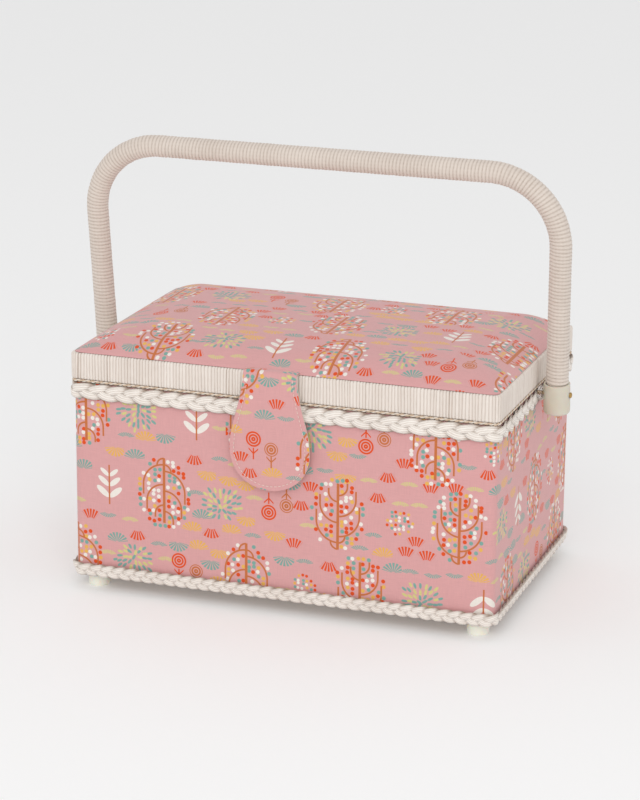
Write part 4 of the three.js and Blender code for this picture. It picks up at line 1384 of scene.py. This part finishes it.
def rim_wrap():
    """The section carried round the rim, and pushed in between turns.

    Across one turn the push is a round cord's: its height times one less the half circle's
    height there. Each turn also leans a little and stands a little proud or shy.
    """
    random = np.random.default_rng(7)
    length = path_length(RIM_HALF, RIM_CORNER)
    turns = round(length / RIM_PITCH)
    starts = uneven_widths(turns, length, RIM_SPREAD, random)
    width = np.diff(starts)
    fraction = np.array(RIB_SAMPLES)
    distance = (starts[:-1, None] + fraction[None, :] * width[:, None]).ravel()
    dip = 1 - np.sqrt(1 - (2 * fraction - 1) ** 2 * 0.98)
    proud = random.normal(0, RIM_PROUD, turns)
    gap = np.where(random.random(turns) < RIM_OPEN_SHARE, RIM_OPEN_GAP, 1.0)
    lean = random.normal(0, RIM_LEAN, turns)
    lean = np.repeat(np.convolve(lean, [0.25, 0.5, 0.25], "same"), len(fraction))
    sink = (RIB_HEIGHT * dip[None, :] * gap[:, None] - proud[:, None]).ravel()

    section = rim_section()
    outwards, height, strength = section.T
    s, out = np.meshgrid(distance, outwards, indexing="ij")
    ahead = s + lean[:, None] * np.clip(height - RIM_MIDDLE, -9 * MM, 9 * MM)[None, :] * 0.25
    facing = np.where(outwards > -TWINE_GROOVE_DEPTH - 0.1 * MM, 1.0, 0.0)
    facing_down = np.where((outwards < -2.5 * MM) & (height < 148 * MM), 1.0, 0.0)
    facing_up = np.where((outwards > -2 * MM) & (height > RIM_TOP - 0.2 * MM), 1.0, 0.0)
    inner_face = np.where((outwards < -10.5 * MM) & (height > 148 * MM), 1.0, 0.0)
    push = sink[:, None] * strength[None, :]
    out = out - push * facing[None, :] + push * inner_face[None, :]
    up = height[None, :] + push * facing_down[None, :] - push * facing_up[None, :]
    plan, _ = path_around(RIM_HALF, RIM_CORNER, ahead, out)
    beneath = (up < RIM_MORTISE_TOP + 0.25 * MM) & (out < -2.6 * MM)
    mortise = near_hinge(plan[..., 0], plan[..., 1]) * beneath
    up = up + mortise * np.maximum(RIM_MORTISE_TOP - up, 0)
    points = np.concatenate([plan, up[..., None]], axis=-1)
    turn_number = (np.arange(turns)[:, None] + fraction[None, :]).ravel()
    travel = travel_along(outwards, height)
    travel = np.append(travel, travel[-1] + 1 * MM)
    u, v = np.meshgrid(np.append(turn_number, turns), travel, indexing="ij")
    wrap = mesh_piece(
        "rim_wrap_cord", points, rim_cord,
        wrap_rows=True, wrap_columns=True, uv=np.stack([u * RIM_PITCH, v], -1),
    )
    # Painted shade for the rim cord: darker in the joins between turns, and darker still where a turn
    # stands open.
    deep = np.repeat(gap, len(fraction)) ** 2 * np.tile(dip, turns)
    set_groove_shade(wrap, np.clip(deep[:, None] * strength[None, :] * 1.2, 0, 2))
    return wrap


def rim_cord_material():
    """Stiff paper cord: pale turns that differ a little in tone, and joins painted darker as shade."""
    material, tree, shader = new_material("rim_cord", 0.86, Sheen_Weight=0.15, Specular_IOR_Level=0.3)
    place = place_of(tree, "UV")
    fibres = use_group(tree, cord_fibres, Place=place, Fineness=1500)
    parts = add_node(tree, "ShaderNodeSeparateXYZ", Vector=place)
    turn = (Field(tree, parts.outputs[0]) / RIM_PITCH).math("FLOOR")
    each = add_node(tree, "ShaderNodeTexWhiteNoise", {"noise_dimensions": "1D"}, W=turn)
    groove_shade = add_node(tree, "ShaderNodeAttribute", {"attribute_name": "groove_shade"})
    groove = Field(tree, groove_shade.outputs["Fac"]) * 0.42
    tone = Field(tree, fibres.outputs["Tone"]) * 0.6 + Field(tree, each.outputs["Value"]) * 0.14
    tone = tone - groove + 0.55
    feed(tree, shader.inputs["Base Color"], mix_colours(tree, tone, RIM_DARK, RIM_PALE))
    bump(tree, shader, fibres.outputs["Height"], 0.12 * MM, 0.5)
    return material


rim_cord = rim_cord_material()
rim = rim_wrap()
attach(rim, "lid")
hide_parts("rim_wrap")


# ---- Rim twine ---------------------------------------------------------------------------------
# A two-strand twine lies in the step along the rim's lower edge, one strand cream and the other
# brown. It is cut away at the rear where the hinges are, which leaves a short length between.

TWINE_RADIUS = 0.52 * MM
TWINE_LAY = 6.6 * MM
TWINE_SPREAD = 0.42 * MM
TWINE_OUT = -0.95 * MM
TWINE_HEIGHT = 148.15 * MM
TWINE_STEP = 0.7 * MM
TWINE_REAR_HALF = 75 * MM
TWINE_END = 101 * MM
TWINE_POINTS = 9
TWINE_ROUND = 3.3 * MM
TWINE_CREAM = (0.80, 0.71, 0.61, 1)
TWINE_BROWN = (0.66, 0.50, 0.36, 1)
TWINE_BROWN_DEEP = (0.44, 0.30, 0.19, 1)


def twine_strand(name, number, start, end, material):
    """One strand wound as a helix round a line that follows the rim, with closed ends.

    The section is a circle. Round the line, the strand's middle stands off by the spread.
    """
    steps = int((end - start) / TWINE_STEP)
    distance = np.linspace(start, end, steps)
    phase = 2 * math.pi * distance / TWINE_LAY + math.pi * number
    middle_out = TWINE_OUT + TWINE_SPREAD * np.cos(phase)
    middle_height = TWINE_HEIGHT + TWINE_SPREAD * np.sin(phase)
    radius = np.full(steps, TWINE_RADIUS)
    radius[[0, -1]] = 0
    angle = full_turn(TWINE_POINTS)
    out = middle_out[:, None] + radius[:, None] * np.cos(angle)[None, :]
    height = middle_height[:, None] + radius[:, None] * np.sin(angle)[None, :]
    plan, _ = path_around(RIM_HALF, RIM_CORNER, distance[:, None] + np.zeros_like(out), out)
    points = np.concatenate([plan, height[..., None]], axis=-1)
    u, v = np.meshgrid(np.linspace(0, TWINE_ROUND, TWINE_POINTS + 1), distance, indexing="xy")
    strand = mesh_piece(name, points, material, wrap_columns=True, uv=np.stack([u, v], -1))
    set_groove_shade(strand, np.zeros(len(strand.data.vertices)))
    return strand


cream_twine = cord_material("cream_twine", TWINE_CREAM, CORD_DEEP)
brown_twine = cord_material("brown_twine", TWINE_BROWN, TWINE_BROWN_DEEP)
rim_length = path_length(RIM_HALF, RIM_CORNER)
twine_runs = {
    "rim_twine": (TWINE_END, rim_length - TWINE_END),
    "rim_twine_rear": (rim_length - TWINE_REAR_HALF, rim_length + TWINE_REAR_HALF),
}
for node, (start, end) in twine_runs.items():
    pair = [
        twine_strand(f"{node}_cream", 0, start, end, cream_twine),
        twine_strand(f"{node}_brown", 1, start, end, brown_twine),
    ]
    for strand in pair:
        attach(strand, "lid")
    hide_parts(node)


# ---- Hinges ------------------------------------------------------------------------------------
# Two small brass butt hinges join the lid to the rear board. Each leaf lies in a mortise and is
# held by three countersunk screws with slotted heads.

SCREW_HEAD_RADIUS = 1.7 * MM
SCREW_HEAD_RISE = 0.28 * MM
SCREW_SLOT = 0.35 * MM
SCREW_SLOT_HEIGHT = 0.08 * MM
SCREW_SLOT_TURN = 0.6
LEAF_THICKNESS = 0.8 * MM
HINGE_SCREWS = ((-8, 5.6), (0, 3.4), (8, 5.6))
BRASS = (0.62, 0.40, 0.145, 1)
BRASS_DARK = (0.36, 0.21, 0.07, 1)

brass = brushed_metal("worn_brass", BRASS, BRASS_DARK, 0.33)
finish_nodes(brass, *(
    f"hinge_{side}_{part}" for side in ("left", "right") for part in ("body_leaf", "lid_leaf", "pin")
))


def slotted_head(name, x, y, z, up):
    """A shallow domed disc with a slot across it: rings that rise as a circle's arc towards the
    middle, lowered to the leaf wherever y is within the slot."""
    ring = np.linspace(1, 0, 12)
    rings = np.concatenate([[0.0], ring]) * SCREW_HEAD_RADIUS
    angle, radius = np.meshgrid(full_turn(40), rings, indexing="ij")
    across = np.sin(angle + SCREW_SLOT_TURN) * radius
    dome = SCREW_HEAD_RISE * np.sqrt(np.clip(1 - (radius / SCREW_HEAD_RADIUS) ** 2 * 0.9, 0, 1))
    dome = np.where(np.abs(across) < SCREW_SLOT, SCREW_SLOT_HEIGHT, dome)
    dome[:, 0] = 0
    points = np.stack([x + np.cos(angle) * radius, y + np.sin(angle) * radius, z + up * dome], -1)
    return mesh_piece(name, points, brass, wrap_rows=True, sharp=TURNED_SHARP)


for side, sign in (("left", -1), ("right", 1)):
    for body, up, leaf in (("body", 1, "body_leaf"), ("lid", -1, "lid_leaf")):
        low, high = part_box(f"hinge_{side}_{leaf}")
        face = low.z + LEAF_THICKNESS if body == "body" else high.z - LEAF_THICKNESS
        for number, (along, inset) in enumerate(HINGE_SCREWS):
            head = slotted_head(
                f"hinge_{side}_{leaf}_screw_{number + 1}",
                sign * HINGE_X + along * MM, low.y + inset * MM, face, up,
            )
            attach(head, body)


# ---- Handle ------------------------------------------------------------------------------------
# A bent rattan core, wound from end to end with soft cotton cord, swings on a rivet at each side.
# It leans forward a little at rest, and its legs spread slightly towards the top.

PIVOT_X = 163 * MM
HANDLE_LEAN = math.radians(5.8)
HANDLE_SPLAY = math.radians(1.14)
HANDLE_HEIGHT = 151.7 * MM
HANDLE_CORNER = 48.3 * MM
HANDLE_START = 3.3 * MM
WRAP_RADIUS = 7.5 * MM
WRAP_SOCKET_RADIUS = 6.95 * MM
WRAP_SWELL = 0.4 * MM
WRAP_SWELL_LENGTH = 16 * MM
CAP_DEPTH = 4.7 * MM
WRAP_INNER = 4.5 * MM
WRAP_PITCH = 2.45 * MM
WRAP_RIDGE = 0.68 * MM
WRAP_STEPS_PER_TURN = 8
WRAP_POINTS = 24
WRAP_UNEVENNESS = 0.06 * MM
CORD_LAY = 2.6 * MM
HANDLE_CORD_PALE = (0.745, 0.66, 0.59, 1)
HANDLE_CORD_DARK = (0.33, 0.24, 0.18, 1)


def handle_line(distance):
    """Points and outward normals on the handle's centre line, in its own upright plane.

    The line has five stretches: a leg that leans out by the splay, an arc, the straight top,
    an arc and the other leg. The heading is constant on the straights and turns evenly on the
    arcs, so the point is its integral: exact on each stretch, as a sum of the stretches before.
    """
    rise = HANDLE_HEIGHT - HANDLE_CORNER * (1 + math.sin(HANDLE_SPLAY))
    leg = (rise - HANDLE_START) / math.cos(HANDLE_SPLAY)
    foot_x = PIVOT_X + HANDLE_START * math.tan(HANDLE_SPLAY)
    shoulder_x = PIVOT_X + rise * math.tan(HANDLE_SPLAY)
    arc_x = shoulder_x - HANDLE_CORNER * math.cos(HANDLE_SPLAY)
    arc_z = HANDLE_HEIGHT - HANDLE_CORNER
    arc = HANDLE_CORNER * (math.pi / 2 + HANDLE_SPLAY)
    knots = np.concatenate([[0], np.cumsum([leg, arc, 2 * arc_x, arc, leg])])
    normal_angle = math.pi / 2 + np.interp(
        distance, knots,
        [math.pi / 2 + HANDLE_SPLAY] * 2 + [0.0] * 2 + [-math.pi / 2 - HANDLE_SPLAY] * 2,
    )
    offset = HANDLE_CORNER * math.cos(HANDLE_SPLAY), HANDLE_CORNER * math.sin(HANDLE_SPLAY)
    centre_x = np.interp(
        distance, knots, [-foot_x + offset[0], -arc_x, -arc_x, arc_x, arc_x, foot_x - offset[0]],
    )
    centre_z = np.interp(
        distance, knots,
        [HANDLE_START + offset[1], arc_z, arc_z, arc_z, arc_z, HANDLE_START + offset[1]],
    )
    normal = np.stack([np.cos(normal_angle), np.sin(normal_angle)], axis=-1)
    return np.stack([centre_x, centre_z], -1) + normal * HANDLE_CORNER, normal, knots[-1]


def lean_forward(across, forward, up):
    """Points of the leaning handle from its own plane: x across, y forward, z up from the pivots."""
    y = -forward * math.cos(HANDLE_LEAN) - up * math.sin(HANDLE_LEAN)
    z = PIVOT_HEIGHT - forward * math.sin(HANDLE_LEAN) + up * math.cos(HANDLE_LEAN)
    return np.stack([across, y, z], axis=-1)


def handle_wrap():
    """Cord wound on the handle's line as a fine thread: a tube whose radius drops between turns.

    The turn's phase is the distance over the pitch plus the angle round the tube. Across one
    turn the radius follows a round cord, and the inside is a smooth bore on the rattan. The
    winding swells a little towards the end caps, and is narrower again inside their sockets.
    """
    _, _, length = handle_line(np.zeros(1))
    turns = round(length / WRAP_PITCH)
    outer = np.linspace(0, length, turns * WRAP_STEPS_PER_TURN)
    inner = np.linspace(length, 0, 180)
    distance = np.concatenate([outer, inner])
    angle = full_turn(WRAP_POINTS)
    s, a = np.meshgrid(distance, angle, indexing="ij")
    phase = s / length * turns + a / (2 * math.pi)
    across_turn = 2 * (phase % 1) - 1
    ridge = 1 - np.sqrt(1 - across_turn ** 2 * 0.93)
    random = np.random.default_rng(19)
    uneven = np.interp(s, np.linspace(0, length, 260), random.normal(0, WRAP_UNEVENNESS, 260))
    to_end = np.minimum(s, length - s)
    swollen = WRAP_RADIUS + WRAP_SWELL * np.exp(-to_end / WRAP_SWELL_LENGTH)
    in_cap = 1 - smooth_step(to_end, CAP_DEPTH, CAP_DEPTH + 0.8 * MM)
    radius = swollen + (WRAP_SOCKET_RADIUS - swollen) * in_cap + uneven - WRAP_RIDGE * ridge
    bore = np.arange(len(distance)) >= len(outer)
    radius[bore] = WRAP_INNER
    point, normal, _ = handle_line(s)
    across = point[..., 0] + normal[..., 0] * radius * np.cos(a)
    up = point[..., 1] + normal[..., 1] * radius * np.cos(a)
    points = lean_forward(across, radius * np.sin(a), up)
    u_angle = np.append(angle, 2 * math.pi)
    v = np.append(distance, 0) / length * turns
    along, around = np.meshgrid(v, u_angle, indexing="ij")
    uv = np.stack([(along + around / (2 * math.pi)) * WRAP_PITCH, around * WRAP_RADIUS], -1)
    wrap = mesh_piece(
        "handle_wrap_cord", points, handle_cord, wrap_rows=True, wrap_columns=True, uv=uv,
    )
    # Painted shade: the joins between turns and the bore get full weight for the cord material to
    # darken.
    ridge[bore] = 1
    set_groove_shade(wrap, ridge)
    return wrap


def handle_cord_material():
    """Soft twisted cord wound close: pale crowns, joins painted darker as shade (deepest where a lay
    dips), and each lay's slanting crown painted a little lighter.
    """
    material, tree, shader = new_material("handle_cord", 0.9, Sheen_Weight=0.3, Specular_IOR_Level=0.2)
    place = place_of(tree, "UV")
    fibres = use_group(tree, cord_fibres, Place=place, Fineness=1700)
    groove_shade = add_node(tree, "ShaderNodeAttribute", {"attribute_name": "groove_shade"})
    parts = add_node(tree, "ShaderNodeSeparateXYZ", Vector=place)
    laid = Field(tree, parts.outputs[1]) / CORD_LAY + Field(tree, parts.outputs[0]) / WRAP_PITCH
    twist = (laid * (2 * math.pi)).math("SINE") * 0.5 + 0.5
    groove = Field(tree, groove_shade.outputs["Fac"]) * (twist * 0.45 + 0.5)
    tone = Field(tree, fibres.outputs["Tone"]) * 0.8 - groove + twist * 0.08 + 0.52
    feed(tree, shader.inputs["Base Color"], mix_colours(
        tree, tone, HANDLE_CORD_DARK, HANDLE_CORD_PALE,
    ))
    bump(tree, shader, twist * 0.7 + Field(tree, fibres.outputs["Height"]), 0.15 * MM, 0.55)
    return material


handle_cord = handle_cord_material()
grip = handle_wrap()
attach(grip, "handle")
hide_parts("handle_wrap")


# ---- Handle caps and rivets --------------------------------------------------------------------
# Each end of the handle stands in an ivory plastic cup. A brass rivet goes through the cup, a
# nylon bush and the side board, and is closed over a brass washer inside the box.

CAP_RADIUS = 8.95 * MM
CAP_ABOVE = 8 * MM
CAP_BELOW = 13.3 * MM
CAP_SOCKET = 7.3 * MM
CAP_SOCKET_FLOOR = 3 * MM
CAP_ROUND = 2.2 * MM
CAP_LIP = 0.55 * MM
RIVET_START = 139.1 * MM
RIVET_HEAD_FACE = 172.3 * MM
RIVET_RADIUS = 1.3 * MM
RIVET_BORE = 1.5 * MM
RIVET_HEAD_RADIUS = 2.1 * MM
RIVET_HEAD_RISE = 1.15 * MM
BUSH_START = 148.9 * MM
BUSH_STEP = 150.4 * MM
BUSH_END = 153.65 * MM
BUSH_BORE = 1.6 * MM
BUSH_NECK = 2.6 * MM
BUSH_EDGE = 3.9 * MM
BUSH_RADIUS = 4.2 * MM
BUSH_GROOVE = 0.28 * MM
BUSH_WAVES = 2.5
CAP_PALE = (0.70, 0.66, 0.56, 1)
CAP_DEEP = (0.62, 0.56, 0.45, 1)
CLEAR_PALE = (0.97, 0.95, 0.93, 1)
CLEAR_DEEP = (0.90, 0.84, 0.80, 1)


def end_cap(name, side):
    """A cup turned about the handle's leg: a rounded foot, straight sides and a rounded lip."""
    outline = [
        (0, -CAP_BELOW), (CAP_RADIUS - CAP_ROUND - 1.5 * MM, -CAP_BELOW),
        *quarter((CAP_RADIUS - CAP_ROUND, CAP_ROUND - CAP_BELOW), CAP_ROUND, -90, 9),
        *quarter((CAP_RADIUS - CAP_LIP, CAP_ABOVE - CAP_LIP), CAP_LIP, 0, 5),
        *quarter((CAP_SOCKET + CAP_LIP, CAP_ABOVE - CAP_LIP), CAP_LIP, 90, 5),
        (CAP_SOCKET, CAP_SOCKET_FLOOR), (0, CAP_SOCKET_FLOOR),
    ]
    across, forward, up = turned(outline, 72)
    points = lean_forward(side * PIVOT_X + across, forward, up)
    return mesh_piece(name, points, cap_ivory, wrap_rows=True, sharp=TURNED_SHARP)


def turn_about_rivet(name, profile, side, material, sharp=TURNED_SHARP):
    """A solid of revolution about the rivet's line: profile pairs are radius and distance out."""
    y, up, out = turned(profile, 40)
    points = np.stack([side * out, y, PIVOT_HEIGHT + up], -1)
    return mesh_piece(name, points, material, wrap_rows=True, sharp=sharp)


def bore_for_rivet(cap, side):
    """Cut the rivet's hole through a cup: the cup less a plain rod on the rivet's line."""
    near, far = PIVOT_X - 2 * CAP_RADIUS, PIVOT_X + 2 * CAP_RADIUS
    rod = turn_about_rivet(
        "rivet_bore", [(0, near), (RIVET_BORE, near), (RIVET_BORE, far), (0, far)], side, cap_ivory,
    )
    bore = cap.modifiers.new("rivet_bore", "BOOLEAN")
    bore.operation = "DIFFERENCE"
    bore.solver = "EXACT"
    bore.object = rod
    bpy.context.view_layer.objects.active = cap
    bpy.ops.object.modifier_apply(modifier=bore.name)
    bpy.data.objects.remove(rod)
    finish_shading(cap.data, TURNED_SHARP)


def nylon_bush_profile():
    """A stepped bush: a neck through the plait, and a body with two shallow turned grooves."""
    share = np.linspace(0, 1, 26)
    radius = BUSH_RADIUS - BUSH_GROOVE * np.abs(np.sin(share * math.pi * BUSH_WAVES)) ** 3
    radius[[0, -1]] = BUSH_EDGE
    return [
        (BUSH_BORE, BUSH_START), (BUSH_NECK, BUSH_START), (BUSH_NECK, BUSH_STEP),
        *zip(radius, BUSH_STEP + share * (BUSH_END - BUSH_STEP)),
        (BUSH_BORE, BUSH_END), (BUSH_BORE, BUSH_START),
    ]


def clear_plastic(name):
    """Clear plastic, a little cloudy, with fine turning marks, so that the rivet shows inside."""
    material, tree, shader = new_material(name, 0.12, Transmission_Weight=0.92, IOR=1.45)
    place = place_of(tree)
    cloud = noise(tree, place, 500, 3)
    feed(tree, shader.inputs["Base Color"], mix_colours(tree, cloud, CLEAR_DEEP, CLEAR_PALE))
    feed(tree, shader.inputs["Roughness"], cloud * 0.2 + 0.05)
    bump(tree, shader, cloud, 0.03 * MM, 0.4)
    return material


cap_ivory = moulded_plastic("cap_ivory", CAP_PALE, CAP_DEEP)
nylon = clear_plastic("clear_nylon")
finish_nodes(brass, "pivot_washer_left", "pivot_washer_right")
for side, sign in (("left", -1), ("right", 1)):
    cap = end_cap(f"handle_cap_{side}_cup", sign)
    bore_for_rivet(cap, sign)
    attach(cap, "handle")
    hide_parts(f"handle_cap_{side}")

    head = [
        (RIVET_HEAD_RADIUS * math.cos(t), RIVET_HEAD_FACE + RIVET_HEAD_RISE * math.sin(t))
        for t in np.linspace(0, math.pi / 2, 9)
    ]
    rivet = turn_about_rivet(f"pivot_rivet_{side}_domed", [
        (0, RIVET_START), (RIVET_RADIUS, RIVET_START), (RIVET_RADIUS, RIVET_HEAD_FACE), *head,
    ], sign, brass)
    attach(rivet, "body")
    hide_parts(f"pivot_rivet_{side}")

    bush = turn_about_rivet(f"pivot_bush_{side}", nylon_bush_profile(), sign, nylon, 50)
    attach(bush, "body")
    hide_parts(f"pivot_spacer_{side}")


# ---- Clasp flap --------------------------------------------------------------------------------
# Two layers of cotton, printed outside and plain inside, are sewn together round the edge. The
# flap comes out from under the lid's cover and turns down over the rim, from where it swings up
# on the box. Its layers and stitches are built at rest and not attached to a moving part.

FLAP_MIDDLE = -5 * MM
FLAP_TAIL_Y = -93 * MM
FLAP_TURN_Z = 168.25 * MM
FLAP_TURN_RADIUS = 1.9 * MM
FLAP_BOTTOM = 87.5 * MM
FLAP_SPLIT = -99.85 * MM
FLAP_LAYER = 0.85 * MM
FLAP_NECK = 18.6 * MM
FLAP_WAIST = 28 * MM
FLAP_WIDEST = 115 * MM
FLAP_BOW = 0.5 * MM
SEAM_INSET = 3 * MM
SEAM_SINK = 0.28 * MM
SEAM_WIDTH = 1.0 * MM
STITCH_SPACING = 2.9 * MM
STITCH_RADIUS = 0.24 * MM
STITCH_SHARE = 0.36
STITCH_STEPS = 10
FLAP_ROWS = 96
FLAP_TIP_ROWS = 22
FLAP_TIP_START = 0.9
FLAP_CLEARANCE = 0.04 * MM
FLAP_TAIL = FLAP_TAIL_Y - (FLAP_SPLIT + FLAP_TURN_RADIUS)
FLAP_ARC = FLAP_TURN_RADIUS * math.pi / 2
THREAD_PALE = (0.86, 0.78, 0.70, 1)
THREAD_DEEP = (0.72, 0.55, 0.47, 1)


def bezier(start, pull_start, pull_end, end, t):
    """A cubic Bezier curve's points for t from 0 to 1."""
    start, pull_start, pull_end, end = map(np.array, (start, pull_start, pull_end, end))
    t = t[:, None]
    return (
        start * (1 - t) ** 3 + pull_start * 3 * t * (1 - t) ** 2
        + pull_end * 3 * t ** 2 * (1 - t) + end * t ** 3
    )


def flap_outline(inset=0.0):
    """The flap's right edge as half width and height, from the rim's top down to the bottom: one
    curve from the neck to the widest point and one round the bottom, moved in by an inset."""
    t = np.linspace(0, 1, 200)
    upper = bezier(
        (FLAP_NECK, FLAP_TURN_Z), (FLAP_NECK + 1 * MM, FLAP_TURN_Z - 24 * MM),
        (FLAP_WAIST, FLAP_WIDEST + 18 * MM), (FLAP_WAIST, FLAP_WIDEST), t,
    )
    lower = bezier(
        (FLAP_WAIST, FLAP_WIDEST), (FLAP_WAIST, FLAP_WIDEST - 17 * MM),
        (FLAP_WAIST - 13 * MM, FLAP_BOTTOM), (0, FLAP_BOTTOM), t[1:],
    )
    edge = np.concatenate([upper, lower])
    along = np.gradient(edge, axis=0)
    along /= np.linalg.norm(along, axis=1, keepdims=True)
    inwards = np.stack([along[:, 1], -along[:, 0]], axis=-1)
    return edge + inwards * inset


def hang(x, run, off):
    """Points on the flap from x across, the run along it from its tail, and the distance off its
    middle surface: a flat tail, a quarter turn over the rim, and a straight drop that bows."""
    turn = np.clip((run - FLAP_TAIL) / FLAP_ARC, 0, 1) * math.pi / 2
    fall = np.maximum(run - FLAP_TAIL - FLAP_ARC, 0)
    flat = np.clip(run, 0, FLAP_TAIL)
    radius = FLAP_TURN_RADIUS + off
    y = FLAP_TAIL_Y - flat - radius * np.sin(turn)
    z = FLAP_TURN_Z - FLAP_TURN_RADIUS + radius * np.cos(turn) - fall
    bow = FLAP_BOW * np.sin(math.pi * np.clip(fall / (FLAP_TURN_Z - FLAP_BOTTOM), 0, 1))
    return np.stack([x + np.zeros_like(y), y - bow, z], axis=-1)


def run_of(height):
    """The run along the flap at a height on its straight drop."""
    return FLAP_TAIL + FLAP_ARC + (FLAP_TURN_Z - FLAP_TURN_RADIUS - height)


def flap_layer(name, side, material):
    """One layer: rows go down the flap and columns round its section, which is a slim
    superellipse of the flap's width there. The seam sinks into its outer face."""
    end = run_of(FLAP_BOTTOM)
    rounding_off = np.sin(np.linspace(0, math.pi / 2, FLAP_TIP_ROWS)[1:])
    drop = np.linspace(0, FLAP_TIP_START, FLAP_ROWS)
    run = end * np.concatenate([drop, FLAP_TIP_START + (1 - FLAP_TIP_START) * rounding_off])
    height = FLAP_BOTTOM + (end - run)
    edge = flap_outline()[::-1]
    width = np.interp(height, edge[:, 1], edge[:, 0])
    width[-1] = 0
    angle = full_turn(104)
    across = np.sign(np.cos(angle)) * np.abs(np.cos(angle)) ** 0.8
    depth = np.sign(np.sin(angle)) * np.abs(np.sin(angle)) ** 0.5
    x = width[:, None] * across[None, :]
    z = height[:, None] + np.zeros_like(x)
    seam = flap_outline(SEAM_INSET)
    apart = np.hypot(np.abs(x)[..., None] - seam[:, 0], z[..., None] - seam[:, 1]).min(axis=-1)
    sink = SEAM_SINK * np.exp(-((apart / SEAM_WIDTH) ** 2)) * (depth[None, :] > 0)
    half = FLAP_LAYER / 2
    thin = np.sqrt(np.clip(width / (3 * MM), 0, 1))[:, None]
    thin[0] = 0
    off = side * (half + FLAP_CLEARANCE + (half * depth[None, :]) * thin - sink)
    points = hang(FLAP_MIDDLE + x, run[:, None] + np.zeros_like(x), off)
    u = np.concatenate([x, x[:, :1]], axis=1)
    v = np.concatenate([z, z[:, :1]], axis=1)
    return mesh_piece(
        name, points, material, wrap_columns=True, uv=np.stack([u, v], -1), sharp=75,
    )


def flap_stitches(name, side, material):
    """A row of stitches on the seam: a thread whose radius falls to nothing between stitches.

    It follows the outline moved in by the seam's inset, down one edge and up the other.
    """
    right = flap_outline(SEAM_INSET)
    right = right[(right[:, 1] < FLAP_TURN_Z - 3 * MM) & (right[:, 0] > 0)]
    line = np.concatenate([right * (1, 1), (right * (-1, 1))[::-1]])
    travel = travel_along(line[:, 0], line[:, 1])
    count = int(travel[-1] / STITCH_SPACING)
    distance = np.linspace(0, travel[-1], count * STITCH_STEPS + 1)
    x = np.interp(distance, travel, line[:, 0])
    z = np.interp(distance, travel, line[:, 1])
    along = np.stack([np.gradient(x), np.gradient(z)], -1)
    along /= np.linalg.norm(along, axis=1, keepdims=True)
    phase = (distance / travel[-1] * count) % 1 - 0.5
    radius = STITCH_RADIUS * np.sqrt(np.clip(1 - (phase / STITCH_SHARE) ** 2, 0, 1))
    angle = full_turn(8)
    sideways = radius[:, None] * np.cos(angle)[None, :]
    raised = radius[:, None] * np.sin(angle)[None, :]
    x = x[:, None] + along[:, 1:2] * sideways
    z = z[:, None] - along[:, 0:1] * sideways
    off = side * (FLAP_LAYER + FLAP_CLEARANCE - SEAM_SINK * 0.75 + raised)
    points = hang(FLAP_MIDDLE + x, run_of(z), off)
    return mesh_piece(name, points, material, wrap_columns=True)


def thread_material():
    """Cream sewing thread with a fine twist."""
    material, tree, shader = new_material("sewing_thread", 0.6, Sheen_Weight=0.3)
    twist = noise(tree, place_of(tree), 3200, 2)
    feed(tree, shader.inputs["Base Color"], mix_colours(tree, twist, THREAD_DEEP, THREAD_PALE))
    bump(tree, shader, twist, 0.1 * MM)
    return material


FLAP_FLAT = (2 * FLAP_WAIST, run_of(FLAP_BOTTOM))
flap_edge = flap_outline()[::-1]
flap_area = 2 * np.trapz(flap_edge[:, 0], flap_edge[:, 1]) + 2 * FLAP_NECK * run_of(FLAP_TURN_Z)

print_cloth_flap = printed_cotton("printed_cotton_flap", "UV", (0.012, 0.069, 0))
sewing_thread = thread_material()
for node, piece_name, side, material, slot in (
    ("flap_outer", "flap_outer_cloth", 1, print_cloth_flap, "printed_cotton"),
    ("flap_backing", "flap_backing_cloth", -1, cream_cotton, "plain_cotton"),
):
    layer = flap_layer(piece_name, side, material)
    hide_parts(node)
    stitches = flap_stitches(f"{node}_stitches", side, sewing_thread)
    for piece in (layer, stitches):
        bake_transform(piece)


# ---- Snap --------------------------------------------------------------------------------------
# A pressed steel snap closes the flap: the socket is sewn to the flap's backing and the stud to
# the front of the body. The stud's knob sits in the socket's cup.

SNAP_RADIUS = 6.9
SNAP_HEIGHT = 104 * MM


def turn_about_snap(name, profile, material):
    """A solid of revolution about the snap's line: profile pairs are millimetres of y and radius."""
    across, up, y = turned([(radius * MM, place * MM) for place, radius in profile], 48)
    points = np.stack([FLAP_MIDDLE + across, y, SNAP_HEIGHT + up], -1)
    return mesh_piece(name, points, material, wrap_rows=True, sharp=TURNED_SHARP)


snap_socket = turn_about_snap("snap_socket_pressed", [
    (-98.6, 0), (-98.6, 6.5), (-98.45, SNAP_RADIUS), (-98.2, SNAP_RADIUS), (-98.05, 6.4),
    (-98.0, 4.4), (-97.6, 3.9), (-97.2, 3.7), (-97.05, 3.4), (-97.05, 2.6), (-97.2, 2.3),
    (-98.2, 2.2), (-98.2, 0),
], steel)
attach(snap_socket, "flap")
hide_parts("snap_socket")
snap_stud = turn_about_snap("snap_stud_pressed", [
    (-95.2, 0), (-95.2, 6.5), (-95.35, SNAP_RADIUS), (-95.6, SNAP_RADIUS), (-95.75, 6.4),
    (-95.85, 3.6), (-96.5, 3.0), (-96.75, 2.4), (-96.75, 1.7), (-97.1, 1.55), (-97.5, 1.8),
    (-97.85, 1.5), (-98.0, 0.8), (-98.02, 0),
], steel)
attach(snap_stud, "body")
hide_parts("snap_stud")
